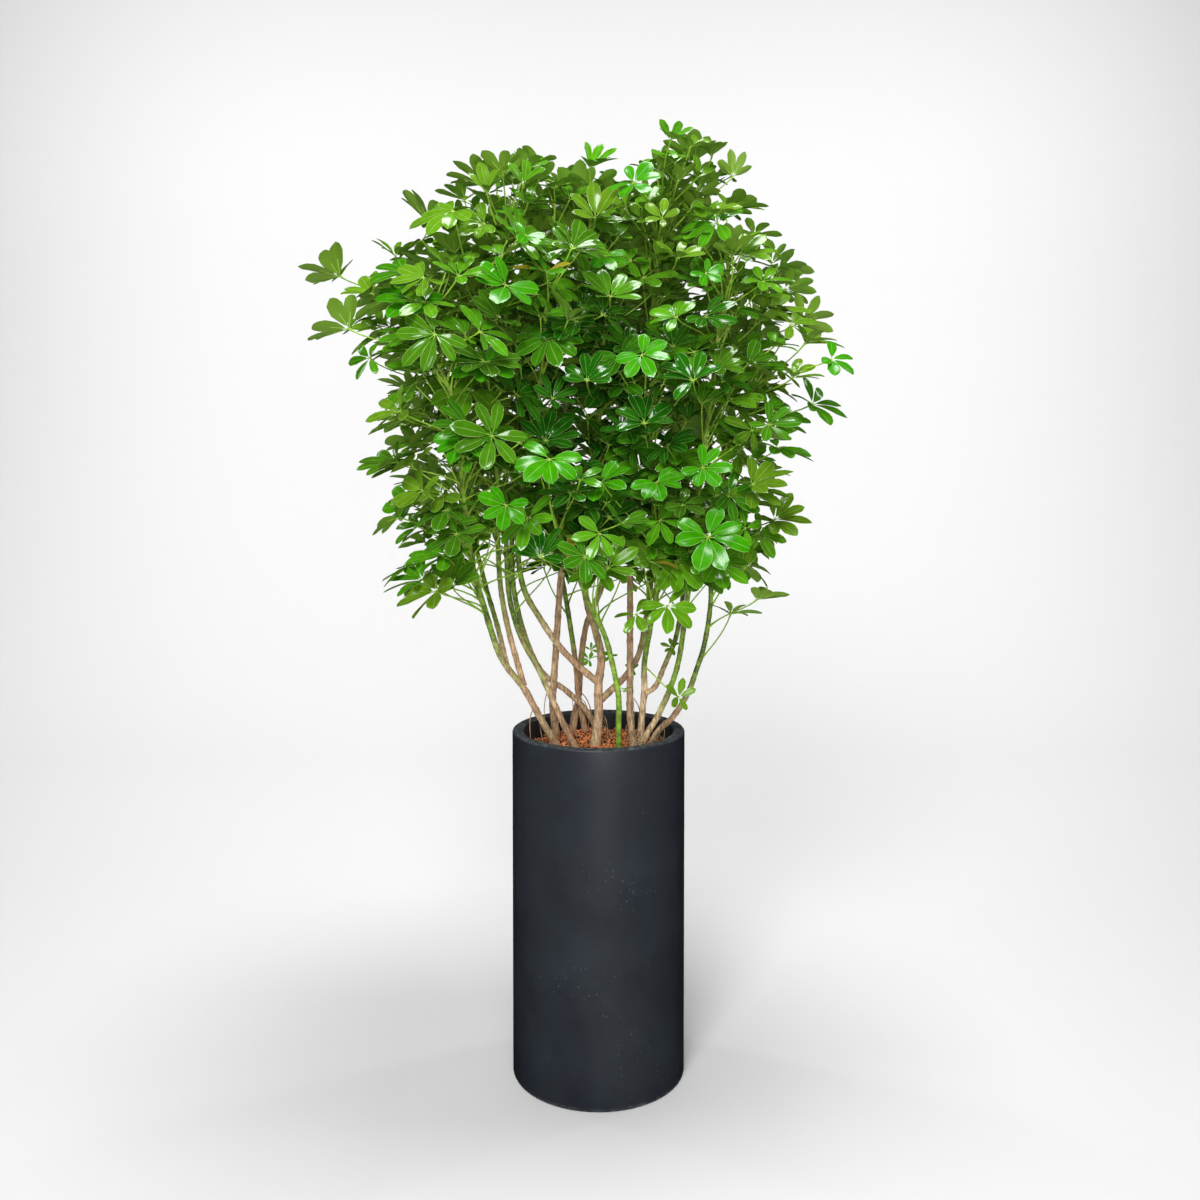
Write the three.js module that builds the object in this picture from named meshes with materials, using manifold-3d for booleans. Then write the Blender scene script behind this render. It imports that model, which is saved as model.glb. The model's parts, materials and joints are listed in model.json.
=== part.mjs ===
// A potted umbrella plant: a bushy dwarf schefflera of seventeen stems in a tall round planter.
// Millimetres, +Z up. The origin is the middle of the planter's foot, where it stands on the floor,
// and -Y is the front.
import * as THREE from "three";
import { mergeVertices } from "three/addons/utils/BufferGeometryUtils.js";
import Module from "manifold-3d";

const wasm = await Module();
wasm.setup();

// ---- Driving dimensions -------------------------------------------------------------------------
const GAP = 0.3; // clearance between pieces that touch

const PLANTER = { radius: 150, height: 600, wall: 20, floor: 24, round: 4, sides: 32 };
const MULCH = { below_rim: 22, depth: 20, relief: 4, rings: 4, sides: 20 };
const SOIL_TOP = PLANTER.height - MULCH.below_rim - MULCH.depth - GAP;
const STEM_FOOT = SOIL_TOP - 15; // the stems stand this deep in the soil
const HOLE_CLEARANCE = 0.45;

// The plant's places are given as seen from the front: how far across and how high in the upright
// plane through the planter's axis, then how far behind that plane (negative is nearer).
const VIEW = { distance: 2080, height: 1103 };

const STEM_SIDES = { wood: 5, shoot: 4 };
const STEM_STEP = { wood: 55, shoot: 105 }; // length of one straight stretch
const PETIOLE = { root: 2.2, end: 1.6, sides: 3, length: 105, rise: 40 };
const BLADE = {
  thickness: 1.2, // of a leaflet
  hub: 2.2, // half the thickness where the leaflets meet
  notch: 0.28, // how far out the leaflets part, as a share of their length
  half_width: 0.19, // of a leaflet at its blunt end, as a share of its length
};
const LEAFLETS = { few: 5, below: 52, many: 7, from: 69 }; // 6 between these leaflet lengths
const FACING = { up: 0.45, out: 1.0, middle: -40 }; // how much a leaf turns up, and to front or back
const SPIRAL_TURN = 137.5; // degrees from one leaf to the next round a stem
const TRIES = 90; // how many places a leaf may try before it is given up
const CLEARANCE = 1.0; // kept between a leaf and what it passes

// One entry for each leafy stem. base: the woody base that it shares. radius: at the foot and at the
// tip. bark: the height where brown bark turns into green shoot (0 where all of it is green). route:
// the stem's line from the foot up. forks: side shoots. leaves: where the stalk of each outer leaf
// meets its leaflets, and the leaflets' length. spiral: how many more leaves wind up the stem.
const STEMS = [
  {
    base: 1, radius: [6.0, 3.6], bark: 750, spiral: 0,
    route: [[-70, 565, -20], [-100, 615, -38], [-130, 670, -52], [-170, 725, -75], [-200, 815, -100],
      [-220, 890, -118], [-230, 975, -135], [-240, 1070, -148], [-250, 1165, -160],
      [-280, 1240, -172], [-310, 1315, -180]],
    leaves: [[-320, 1345, -200, 72], [-430, 1295, -120, 78], [-320, 1200, -150, 76],
      [-335, 1140, -110, 72], [-325, 1060, -150, 78], [-230, 1105, -230, 58],
      [-305, 1015, -175, 64], [-310, 995, -100, 56], [-300, 960, -140, 62],
      [-245, 940, -200, 66], [-325, 885, -60, 70], [-305, 860, -115, 78], [-280, 840, -165, 82]],
  },
  {
    base: 1, radius: [5.2, 3.2], bark: 800, spiral: 0,
    route: [[-130, 675, -50], [-155, 765, -44], [-170, 845, -52], [-175, 935, -68],
      [-175, 1020, -82], [-180, 1105, -95], [-190, 1195, -108], [-200, 1280, -112],
      [-215, 1360, -105]],
    leaves: [[-190, 1230, -200, 76], [-160, 1370, -205, 68], [-245, 1320, -110, 42],
      [-205, 1425, -70, 78], [-160, 990, -235, 52], [-125, 1455, -190, 44],
      [-170, 1130, -60, 60]],
  },
  {
    base: 1, radius: [4.8, 3.0], bark: 765, spiral: 2,
    route: [[-160, 710, -66], [-175, 775, -20], [-195, 845, 20], [-215, 925, 50],
      [-235, 1000, 75], [-260, 1090, 100], [-280, 1175, 125], [-310, 1260, 145],
      [-335, 1350, 155]],
    leaves: [[-445, 1385, 40, 88], [-350, 1420, 60, 60], [-390, 1355, -10, 64],
      [-290, 1475, 95, 86], [-395, 1245, -20, 48], [-290, 1365, 200, 72]],
  },
  {
    base: 2, radius: [5.6, 3.2], bark: 725, spiral: 0,
    route: [[-40, 565, -25], [-60, 605, -23], [-80, 650, -19], [-105, 705, -12], [-135, 760, -5],
      [-155, 830, 0], [-160, 915, 2], [-160, 1020, -2], [-160, 1125, -8], [-160, 1230, -14],
      [-160, 1330, -18], [-160, 1425, -22], [-160, 1490, -25]],
    leaves: [[-200, 1540, -20, 80], [-165, 1560, -60, 64], [-125, 1540, -85, 58],
      [-190, 1475, -60, 64], [-130, 1495, -20, 58], [-135, 1315, -60, 50]],
  },
  {
    base: 3, radius: [6.4, 3.6], bark: 1120, spiral: 5,
    route: [[-75, 595, 68], [-80, 645, 57], [-75, 725, 52], [-70, 805, 48], [-65, 885, 44],
      [-65, 975, 40], [-60, 1070, 38], [-55, 1175, 38], [-35, 1280, 42], [-25, 1375, 46],
      [-15, 1455, 48], [-15, 1515, 48]],
    forks: [[[-50, 1200, 40], [-30, 1280, 120], [-20, 1350, 190], [-10, 1420, 240],
      [-15, 1480, 260]]],
    leaves: [[-15, 1570, 10, 72], [-45, 1515, 70, 52], [10, 1420, -80, 50], [35, 1480, 60, 64]],
  },
  {
    base: 4, radius: [5.4, 3.2], bark: 735, spiral: 2,
    route: [[-5, 605, 84], [-25, 635, 76], [-55, 665, 73], [-95, 695, 66], [-120, 740, 44],
      [-140, 805, 25], [-150, 870, 20], [-150, 960, 22], [-145, 1055, 26], [-130, 1160, 34],
      [-110, 1260, 42], [-95, 1365, 48], [-80, 1455, 52], [-75, 1500, 54]],
    leaves: [[-80, 1540, 30, 66], [-55, 1435, -110, 62], [-25, 1380, -100, 68],
      [-110, 1515, 90, 62], [-100, 1375, 120, 70]],
  },
  {
    base: 5, radius: [6.0, 3.2], bark: 800, spiral: 0,
    route: [[0, 680, 0], [-30, 705, -5], [-65, 740, -12], [-100, 790, -20], [-130, 845, -28],
      [-140, 915, -36], [-135, 1000, -46], [-125, 1090, -60], [-105, 1175, -80],
      [-95, 1260, -98], [-90, 1340, -112]],
    leaves: [[-80, 1175, -150, 52], [-100, 1295, -30, 62], [-145, 1270, -150, 52],
      [-110, 1105, 20, 64], [-180, 1055, 40, 60]],
  },
  {
    base: 5, radius: [8.4, 3.4], bark: 830, spiral: 1,
    route: [[-5, 575, -10], [0, 620, -4], [0, 675, 0], [5, 725, 2], [-5, 770, 6], [-20, 820, 12],
      [-30, 900, 18], [-20, 1000, 18], [-5, 1105, 10], [5, 1200, -4], [10, 1290, -22]],
    leaves: [[20, 1350, -130, 72], [35, 890, -130, 56], [-25, 920, -110, 50],
      [50, 1125, -110, 56], [-20, 1205, -160, 56], [-30, 1295, 75, 66]],
  },
  {
    base: 5, radius: [6.2, 3.2], bark: 775, spiral: 0,
    route: [[5, 650, 0], [25, 670, 6], [50, 695, 14], [70, 730, 20], [80, 775, 24], [90, 845, 22],
      [95, 935, 14], [95, 1020, 0], [90, 1105, -30], [80, 1185, -70]],
    leaves: [[75, 1250, -200, 58], [80, 1130, -160, 66], [115, 1200, -60, 60],
      [45, 970, 120, 62]],
  },
  {
    base: 0, radius: [5.2, 3.2], bark: 0, spiral: 0,
    route: [[35, 555, -90], [35, 600, -92], [35, 655, -98], [25, 710, -103], [10, 765, -108],
      [-15, 815, -116], [-35, 865, -126], [-55, 905, -138], [-70, 940, -148]],
    leaves: [[-85, 1070, -250, 66], [-100, 900, -215, 58], [-40, 1000, -100, 56]],
  },
  {
    base: 6, radius: [6.2, 3.4], bark: 930, spiral: 3,
    route: [[60, 575, -20], [55, 630, -17], [55, 700, -14], [55, 770, -8], [55, 845, 0],
      [55, 935, 10], [60, 1035, 20], [70, 1140, 30], [85, 1255, 40], [95, 1360, 50],
      [105, 1445, 58], [110, 1500, 60]],
    leaves: [[135, 1545, -10, 58], [100, 1560, 50, 96], [60, 1545, -60, 60],
      [120, 1620, -30, 54], [110, 1485, -90, 44], [135, 1415, -110, 66], [70, 1435, 150, 70],
      [160, 1290, 100, 66]],
  },
  {
    base: 7, radius: [6.0, 3.6], bark: 705, spiral: 0,
    route: [[75, 565, -45], [75, 610, -46], [80, 665, -48], [80, 715, -50], [90, 775, -54],
      [100, 840, -62], [100, 900, -72]],
    leaves: [[5, 1030, -170, 66], [100, 1030, -160, 54], [145, 990, -165, 48],
      [120, 815, -170, 56], [65, 800, -150, 46], [140, 655, -90, 42]],
  },
  {
    base: 7, radius: [4.6, 3.2], bark: 722, spiral: 3,
    route: [[80, 660, -48], [100, 675, -42], [115, 710, -26], [135, 760, -4], [145, 820, 20],
      [155, 900, 46], [170, 985, 74], [185, 1070, 98], [210, 1160, 120], [240, 1245, 138],
      [275, 1320, 148]],
    leaves: [[295, 1325, 50, 84], [350, 1305, 60, 80], [255, 1245, 20, 66],
      [220, 1350, 160, 74], [285, 1360, 110, 66]],
  },
  {
    base: 8, radius: [5.4, 3.2], bark: 668, spiral: 0,
    route: [[72, 560, -72], [84, 588, -69], [105, 625, -64], [125, 670, -60], [140, 720, -58],
      [150, 790, -58], [160, 870, -58], [170, 970, -54], [180, 1070, -46], [195, 1175, -36],
      [205, 1270, -26], [220, 1350, -16], [225, 1410, -8]],
    leaves: [[230, 1420, -70, 76], [190, 935, -200, 78], [180, 1055, -190, 56],
      [165, 1205, -210, 68], [135, 1315, -160, 56], [170, 1425, -90, 74],
      [185, 1390, -130, 38]],
  },
  {
    base: 9, radius: [5.4, 3.2], bark: 662, spiral: 0,
    route: [[92, 572, -20], [106, 597, -22], [130, 620, -24], [155, 660, -24], [170, 700, -20],
      [185, 750, -14], [195, 820, -6], [195, 900, 0], [205, 985, 4], [220, 1070, 8],
      [245, 1140, 10], [270, 1195, 10]],
    leaves: [[275, 825, -50, 62], [230, 800, 30, 64], [255, 880, -90, 52], [305, 965, -60, 70],
      [255, 950, -120, 48], [265, 1025, -130, 82], [310, 1090, -60, 70], [295, 1130, -150, 56],
      [370, 1165, -40, 74], [335, 1210, -100, 68], [355, 1270, -60, 80], [405, 1245, -100, 50]],
  },
  {
    base: 10, radius: [6.0, 3.4], bark: 860, spiral: 8,
    route: [[-45, 600, 108], [-35, 655, 107], [-30, 725, 102], [-20, 785, 96], [5, 845, 93],
      [25, 915, 96], [40, 1000, 104], [55, 1105, 116], [75, 1210, 128], [105, 1315, 140],
      [135, 1420, 150], [160, 1515, 150]],
    forks: [[[25, 925, 97], [40, 1000, 160], [65, 1105, 220], [95, 1210, 260], [105, 1315, 275],
      [110, 1400, 270]]],
    leaves: [[195, 1590, 60, 80], [170, 1580, 120, 72], [225, 1500, 85, 78],
      [235, 1430, 130, 66]],
  },
  {
    base: 11, radius: [5.2, 3.0], bark: 705, spiral: 8,
    route: [[-25, 605, 98], [-35, 655, 90], [-40, 715, 78], [-50, 785, 74], [-60, 845, 80],
      [-75, 925, 94], [-95, 1020, 112], [-120, 1125, 130], [-145, 1230, 150],
      [-170, 1330, 168], [-195, 1420, 178]],
    forks: [[[-75, 925, 94], [-105, 1000, 150], [-145, 1090, 205], [-180, 1185, 245],
      [-205, 1280, 262], [-220, 1365, 262]]],
    leaves: [[-230, 1515, 150, 68], [-225, 1475, 210, 68]],
  },
];

const FINISH = {
  planter: { color: 0x30343a, roughness: 0.62, metalness: 0 },
  soil: { color: 0x35251b, roughness: 1, metalness: 0 },
  mulch: { color: 0xa9502b, roughness: 0.95, metalness: 0 },
  bark: { color: 0xab8a66, roughness: 0.85, metalness: 0 },
  leaf: { color: 0x4f8a26, roughness: 0.4, metalness: 0 },
};

// ---- Small helpers ------------------------------------------------------------------------------
const UP = new THREE.Vector3(0, 0, 1);
const radians = THREE.MathUtils.degToRad;
const lerp = THREE.MathUtils.lerp;
const clamp = THREE.MathUtils.clamp;
const vector = (x, y, z) => new THREE.Vector3(x, y, z);

// The real place of a point that is given as seen from the front.
function seen(across, up, depth) {
  const spread = 1 + depth / VIEW.distance;
  return vector(across * spread, depth, VIEW.height + (up - VIEW.height) * spread);
}

// A seeded draw from 0 to 1: the same keys always give the same number.
function draw(...keys) {
  let hash = 2166136261;
  for (const key of keys) {
    hash = Math.imul(hash ^ (key + 40503), 16777619) >>> 0;
    hash = Math.imul(hash ^ (hash >>> 13), 1540483477) >>> 0;
    hash = (hash ^ (hash >>> 15)) >>> 0;
  }
  return hash / 4294967296;
}

// A draw from -reach to +reach.
const either = (reach, ...keys) => reach * (2 * draw(...keys) - 1);

// A closed mesh as a solid.
function solidOf(geometry) {
  const bare = geometry.clone();
  bare.deleteAttribute("normal");
  bare.deleteAttribute("uv");
  const merged = mergeVertices(bare, 1e-3);
  const corners = merged.index.array;
  const kept = [];
  for (let i = 0; i < corners.length; i += 3) {
    const [a, b, c] = corners.slice(i, i + 3);
    if (a !== b && b !== c && c !== a) kept.push(a, b, c);
  }
  const triVerts = new Uint32Array(kept);
  const vertProperties = merged.attributes.position.array;
  return new wasm.Manifold(new wasm.Mesh({ numProp: 3, vertProperties, triVerts }));
}

// A solid as a named mesh.
function meshOf(name, solid, finish) {
  const { numProp, vertProperties, triVerts } = solid.getMesh();
  const places = new Float32Array((vertProperties.length / numProp) * 3);
  for (let i = 0; i < places.length / 3; i++)
    places.set(vertProperties.subarray(i * numProp, i * numProp + 3), i * 3);
  const geometry = new THREE.BufferGeometry();
  geometry.setAttribute("position", new THREE.BufferAttribute(places, 3));
  geometry.setIndex(new THREE.BufferAttribute(triVerts, 1));
  const flat = geometry.toNonIndexed();
  flat.computeVertexNormals();
  const mesh = new THREE.Mesh(flat, new THREE.MeshStandardMaterial(finish));
  mesh.name = name;
  return mesh;
}

// A solid from its corners and faces, each face a list of corner numbers.
function facetedSolid(corners, faces) {
  const geometry = new THREE.BufferGeometry();
  const places = corners.flatMap((corner) => corner.toArray());
  geometry.setAttribute("position", new THREE.Float32BufferAttribute(places, 3));
  geometry.setIndex(
    faces.flatMap((face) => face.slice(2).flatMap((last, i) => [face[0], face[i + 1], last])),
  );
  return solidOf(geometry);
}

// Two directions square to a line and to each other.
function across(direction) {
  const other = Math.abs(direction.x) < 0.8 ? vector(1, 0, 0) : vector(0, 1, 0);
  const side = other.addScaledVector(direction, -other.dot(direction)).normalize();
  return [side, direction.clone().cross(side)];
}

// A closed tapering tube along a line of centres, each { at, along, radius }.
function tube(stations, sides) {
  const corners = stations.flatMap(({ at, along, radius }) => {
    const [side, front] = across(along);
    return Array.from({ length: sides }, (_, k) => {
      const turn = (2 * Math.PI * k) / sides;
      return at
        .clone()
        .addScaledVector(side, radius * Math.cos(turn))
        .addScaledVector(front, radius * Math.sin(turn));
    });
  });
  const ring = Array.from({ length: sides }, (_, k) => k);
  const top = (stations.length - 1) * sides;
  const walls = stations.slice(1).flatMap((_, i) =>
    ring.map((k) => {
      const next = (k + 1) % sides;
      return [i * sides + k, i * sides + next, (i + 1) * sides + next, (i + 1) * sides + k];
    }),
  );
  return facetedSolid(corners, [[...ring].reverse(), ring.map((k) => top + k), ...walls]);
}

// ---- Planter, soil and mulch --------------------------------------------------------------------
// A solid of revolution about Z from its profile, a list of [radius, height].
function turned(profile, sides) {
  const points = profile.map(([radius, height]) => new THREE.Vector2(radius, height));
  return solidOf(new THREE.LatheGeometry(points, sides).rotateX(Math.PI / 2));
}

// The corner of a profile eased off, from one side's direction to the next side's.
function eased(radius, height, from, round) {
  return [0, 90].map((step) => {
    const turn = radians(from + step);
    return [radius + round * Math.cos(turn), height + round * Math.sin(turn)];
  });
}

function planter() {
  const { radius, height, wall, floor, round, sides } = PLANTER;
  const inner = radius - wall;
  const profile = [
    [0, 0],
    ...eased(radius - round, round, -90, round),
    ...eased(radius - round, height - round, 0, round),
    ...eased(inner + round, height - round, 90, round),
    [inner, floor],
    [0, floor],
  ];
  return turned(profile, sides);
}

const FILL_RADIUS = (PLANTER.radius - PLANTER.wall) * Math.cos(Math.PI / PLANTER.sides) - GAP;

function pottingSoil() {
  const foot = PLANTER.floor + GAP;
  const profile = [[0, foot], [FILL_RADIUS, foot], [FILL_RADIUS, SOIL_TOP], [0, SOIL_TOP]];
  return turned(profile, PLANTER.sides);
}

// Coarse husk chips: a disc whose top rises and falls from chip to chip.
function mulch() {
  const { depth, relief, rings, sides } = MULCH;
  const foot = SOIL_TOP + GAP;
  const corners = [vector(0, 0, foot), vector(0, 0, foot + depth)];
  for (let ring = 1; ring <= rings; ring++)
    for (let k = 0; k < sides; k++) {
      const turn = (2 * Math.PI * (k + 0.5 * (ring % 2))) / sides;
      const reach = (FILL_RADIUS * ring) / rings;
      const lift = either(relief, ring, k) - (ring === rings ? relief : 0);
      corners.push(vector(reach * Math.cos(turn), reach * Math.sin(turn), foot + depth + lift));
    }
  const rim = corners.length - sides;
  for (let k = 0; k < sides; k++) corners.push(corners[rim + k].clone().setZ(foot));
  const faces = [];
  for (let k = 0; k < sides; k++) {
    const next = (k + 1) % sides;
    faces.push([1, 2 + k, 2 + next], [0, rim + sides + next, rim + sides + k]);
    faces.push([rim + k, rim + sides + k, rim + sides + next, rim + next]);
    for (let ring = 1; ring < rings; ring++) {
      const here = 2 + (ring - 1) * sides;
      const out = here + sides;
      // Odd rings are half a step ahead of even ones, so the split of each quarter follows them.
      if (ring % 2) faces.push([here + k, out + next, here + next], [here + k, out + k, out + next]);
      else faces.push([here + k, out + k, here + next], [here + next, out + k, out + next]);
    }
  }
  return facetedSolid(corners, faces);
}

// ---- Stems --------------------------------------------------------------------------------------
const curveThrough = (points) => new THREE.CatmullRomCurve3(points, false, "catmullrom", 0.5);
const pointsOf = (route) => route.map((place) => seen(...place));

// The share of the curve's way at which it first reaches a height.
function shareAtHeight(curve, height) {
  let share = 0;
  while (share < 1 && curve.getPoint(share).z < height) share += 0.005;
  return share;
}

// The stations of a tube along part of a curve, which starts a little way after its first point.
function stretch(curve, from, to, step, [thick, thin], start = 0) {
  const steps = Math.max(2, Math.round((curve.getLength() * (to - from)) / step));
  return Array.from({ length: steps + 1 }, (_, i) => {
    const share = lerp(from, to, i / steps);
    const along = curve.getTangent(share);
    const at = curve.getPoint(share).addScaledVector(along, i === 0 ? start : 0);
    return { at, along, radius: lerp(thick, thin, share) };
  });
}

// The end of a stem that stands in the pot, straight on down from its first point into the soil.
function footOf(curve, radius) {
  const [at, along] = [curve.getPoint(0), curve.getTangent(0)];
  return { at: at.addScaledVector(along, (STEM_FOOT - at.z) / along.z), along, radius };
}

// A stem as it is built: its curves, each with the share from which leaves can grow on it.
function grow(stem) {
  const main = curveThrough(pointsOf(stem.route));
  const foot = stem.route[0][1] < PLANTER.height + 10 ? [footOf(main, stem.radius[0])] : [];
  const bark = stem.bark ? shareAtHeight(main, stem.bark) : 0;
  const brown = bark ? [...foot, ...stretch(main, 0, bark, STEM_STEP.wood, stem.radius)] : [];
  const above = stretch(main, bark, 1, STEM_STEP.shoot, stem.radius, bark ? GAP : 0);
  const green = bark ? above : [...foot, ...above];
  // A side shoot starts from the nearest joint between two straight stretches of its stem.
  const forks = (stem.forks ?? []).map((route) => {
    const [start, ...rest] = pointsOf(route);
    const off = green.map(({ at }) => at.distanceTo(start));
    const joint = green[off.indexOf(Math.min(...off))].at;
    return { curve: curveThrough([joint, ...rest]), from: 0.12 };
  });
  const tip = [stem.radius[1], stem.radius[1] * 0.8];
  const shoot = [
    tube(green, STEM_SIDES.shoot),
    ...forks.map(({ curve }) => tube(stretch(curve, 0, 1, STEM_STEP.shoot, tip), STEM_SIDES.shoot)),
  ];
  const wood = bark && tube(brown, STEM_SIDES.wood);
  const [lower, sides] = bark ? [brown, STEM_SIDES.wood] : [green, STEM_SIDES.shoot];
  const holes = foot.length ? [holeFor(lower, sides)] : [];
  return { ...stem, shoot, wood, holes, curves: [{ curve: main, from: bark + 0.04 }, ...forks] };
}

// The plain hole in soil and mulch that the lower end of a stem stands in.
function holeFor(stations, sides) {
  const lower = stations.slice(0, 3).map(({ at, along, radius }, i) => ({
    at: at.clone().addScaledVector(along, i === 0 ? -HOLE_CLEARANCE : 0),
    along,
    radius: radius + HOLE_CLEARANCE,
  }));
  return tube(lower, sides);
}

// ---- Leaves -------------------------------------------------------------------------------------
// The place on a stem that a leaf's stalk grows from: about a stalk's length off, and lower.
function nearestRoot(stem, hub) {
  let best = { cost: Infinity };
  for (const { curve, from } of stem.curves)
    for (let step = 0; step <= 100; step++) {
      const at = curve.getPoint(lerp(from, 1, step / 100));
      const flat = Math.max(0, PETIOLE.rise - (hub.z - at.z));
      const cost = Math.abs(at.distanceTo(hub) - PETIOLE.length) + 1.5 * flat;
      if (cost < best.cost) best = { cost, at };
    }
  return best.at;
}

// All the leaves of a stem, each with its place as a function of how far it is shifted.
function leavesOf(stem, index) {
  const outer = stem.leaves.map(([over, up, depth, length]) => ({
    length,
    place: (x, y, z) => seen(over + x, up + z, depth + y),
  }));
  const winding = Array.from({ length: stem.spiral }, (_, j) => {
    const { curve, from } = stem.curves[j % stem.curves.length];
    const share = lerp(0.9, Math.max(from, 0.3), j / stem.spiral);
    const turn = radians(SPIRAL_TURN * j + 360 * draw(index, 7));
    const climb = radians(lerp(22, 58, share) + either(8, index, j, 3));
    const reach = 88 + 34 * draw(index, j, 4);
    const way = vector(
      Math.cos(climb) * Math.cos(turn),
      Math.cos(climb) * Math.sin(turn),
      Math.sin(climb),
    );
    const hub = curve.getPoint(share).addScaledVector(way, reach);
    const length = Math.round(58 + 18 * draw(index, j, 5));
    return { length, place: (x, y, z) => vector(hub.x + x, hub.y + y, hub.z + z) };
  });
  return [...outer, ...winding];
}

// How a leaf stands on a given try: its hub, the way it faces and the way its middle leaflet points.
function poseOf(stem, leaf, attempt, ...keys) {
  const roam = Math.min(150, 14 * attempt);
  const stray = Math.min(14, 1.5 * attempt);
  const hub = leaf.place(
    either(stray, ...keys, attempt, 11),
    either(roam, ...keys, attempt, 12),
    either(stray, ...keys, attempt, 13),
  );
  const root = nearestRoot(stem, hub);
  const loose = 0.2 + Math.min(0.4, 0.02 * attempt);
  // A leaf faces on from its stalk and up to the light, and the light comes from all round.
  const arriving = hub.clone().sub(root).normalize();
  const facing = arriving
    .clone()
    .addScaledVector(UP, FACING.up)
    .add(vector(0, hub.y < FACING.middle ? -FACING.out : FACING.out, 0))
    .add(
      vector(
        either(loose, ...keys, attempt, 14),
        either(loose, ...keys, attempt, 15),
        either(loose, ...keys, attempt, 16),
      ),
    )
    .normalize();
  const away = vector(hub.x, hub.y, -0.3 * Math.hypot(hub.x, hub.y));
  const outwards = away.addScaledVector(facing, -away.dot(facing)).normalize();
  const twist = radians(either(18 + Math.min(60, 3 * attempt), ...keys, attempt, 17));
  const young = clamp((hub.z - 1430) / 150, 0, 1);
  const cup = radians(lerp(20, 36, young) + either(7, ...keys, 18));
  const sag = 0.17 + either(0.1, ...keys, 19);
  const { few, below, many, from } = LEAFLETS;
  const leaflets = leaf.length < below ? few : leaf.length < from ? 6 : many;
  return { hub, root, facing, arriving, outwards, twist, length: leaf.length, cup, sag, leaflets };
}

// The leaflets' joint outline, as [distance from the hub, turn from the middle leaflet].
function leafOutline({ length, leaflets }) {
  const step = (2 * Math.PI) / (leaflets + 0.3);
  const half = Math.asin(BLADE.half_width);
  return Array.from({ length: leaflets }, (_, k) => {
    const turn = (k - (leaflets - 1) / 2) * step;
    const own = length * (0.76 + 0.24 * Math.cos(turn / 2) ** 2);
    const notch = k < leaflets - 1 ? turn + step / 2 : Math.PI;
    return [[own, turn - half], [own, turn + half], [length * BLADE.notch, notch]];
  }).flat();
}

// A leaf in one piece with its stalk: the leaflets are one arched plate, cut in towards the hub, and
// the stalk joins it from below. A leaf that is tested is grown all round by a clearance.
function leafSolid(pose, grown = 0) {
  const { hub, root, facing, arriving, outwards, twist, length, cup, sag } = pose;
  const side = facing.clone().cross(outwards);
  const rim = leafOutline(pose);
  const half = BLADE.thickness / 2 + grown;
  const inPlane = (turn, reach, lift) =>
    hub
      .clone()
      .addScaledVector(outwards, reach * Math.cos(turn + twist))
      .addScaledVector(side, reach * Math.sin(turn + twist))
      .addScaledVector(facing, lift);
  const edge = ([reach, turn], lift) => {
    const rise = reach * Math.sin(cup) - (sag * reach * reach) / length;
    return inPlane(turn, reach * Math.cos(cup) + grown, rise + lift);
  };
  const ring = Array.from({ length: PETIOLE.sides }, (_, k) => k);
  const turnOf = (k) => (2 * Math.PI * k) / PETIOLE.sides;
  const forward = outwards.clone().addScaledVector(arriving, -outwards.dot(arriving)).normalize();
  const corners = [
    inPlane(0, 0, BLADE.hub + grown),
    ...ring.map((k) => inPlane(turnOf(k) - twist, PETIOLE.end + grown, -BLADE.hub - grown)),
    ...ring.map((k) =>
      root
        .clone()
        .addScaledVector(forward, (PETIOLE.root + grown) * Math.cos(turnOf(k)))
        .addScaledVector(side, (PETIOLE.root + grown) * Math.sin(turnOf(k))),
    ),
    ...rim.map((place) => edge(place, half)),
    ...rim.map((place) => edge(place, -half)),
  ];
  const above = (i) => 1 + 2 * PETIOLE.sides + ((i + rim.length) % rim.length);
  const below = (i) => above(i) + rim.length;
  // Which corner of the stalk's end each stretch of the outline is joined to.
  const nearest = rim.map(([, turn], i) => {
    const next = i + 1 < rim.length ? rim[i + 1][1] : rim[0][1] + 2 * Math.PI;
    const sector = Math.round(((turn + next) / 2 + twist) / turnOf(1));
    return 1 + (((sector % PETIOLE.sides) + PETIOLE.sides) % PETIOLE.sides);
  });
  const faces = rim.flatMap((_, i) => {
    const here = nearest[i];
    const before = nearest[(i + rim.length - 1) % rim.length];
    const turned = here === before ? [] : [[below(i), before, here]];
    return [
      [0, above(i), above(i + 1)],
      [here, below(i + 1), below(i)],
      [above(i), below(i), below(i + 1), above(i + 1)],
      ...turned,
    ];
  });
  const walls = ring.map((k) => {
    const next = (k + 1) % PETIOLE.sides;
    return [1 + next, 1 + k, 1 + k + PETIOLE.sides, 1 + next + PETIOLE.sides];
  });
  const cap = [...ring].reverse().map((k) => 1 + PETIOLE.sides + k);
  return facetedSolid(corners, [...faces, ...walls, cap]);
}

// The leaf with only a stub of its stalk.
function bladeOnly(pose, grown) {
  return leafSolid({ ...pose, root: pose.hub.clone().addScaledVector(pose.arriving, -8) }, grown);
}

// ---- Keeping clear ------------------------------------------------------------------------------
// What stands in the way so far: each solid with its box, its stem and what kind of piece it is.
const inTheWay = [];

const boxOf = (solid) => {
  const { min, max } = solid.boundingBox();
  return new THREE.Box3(vector(...min), vector(...max));
};

const remember = (solid, stem, kind) => inTheWay.push({ solid, stem, kind, box: boxOf(solid) });

function touches(solid, ignored) {
  const box = boxOf(solid);
  return inTheWay.some((other) => {
    if (ignored(other) || !box.intersectsBox(other.box)) return false;
    const common = solid.intersect(other.solid);
    const met = !common.isEmpty();
    common.delete();
    return met;
  });
}

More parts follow.
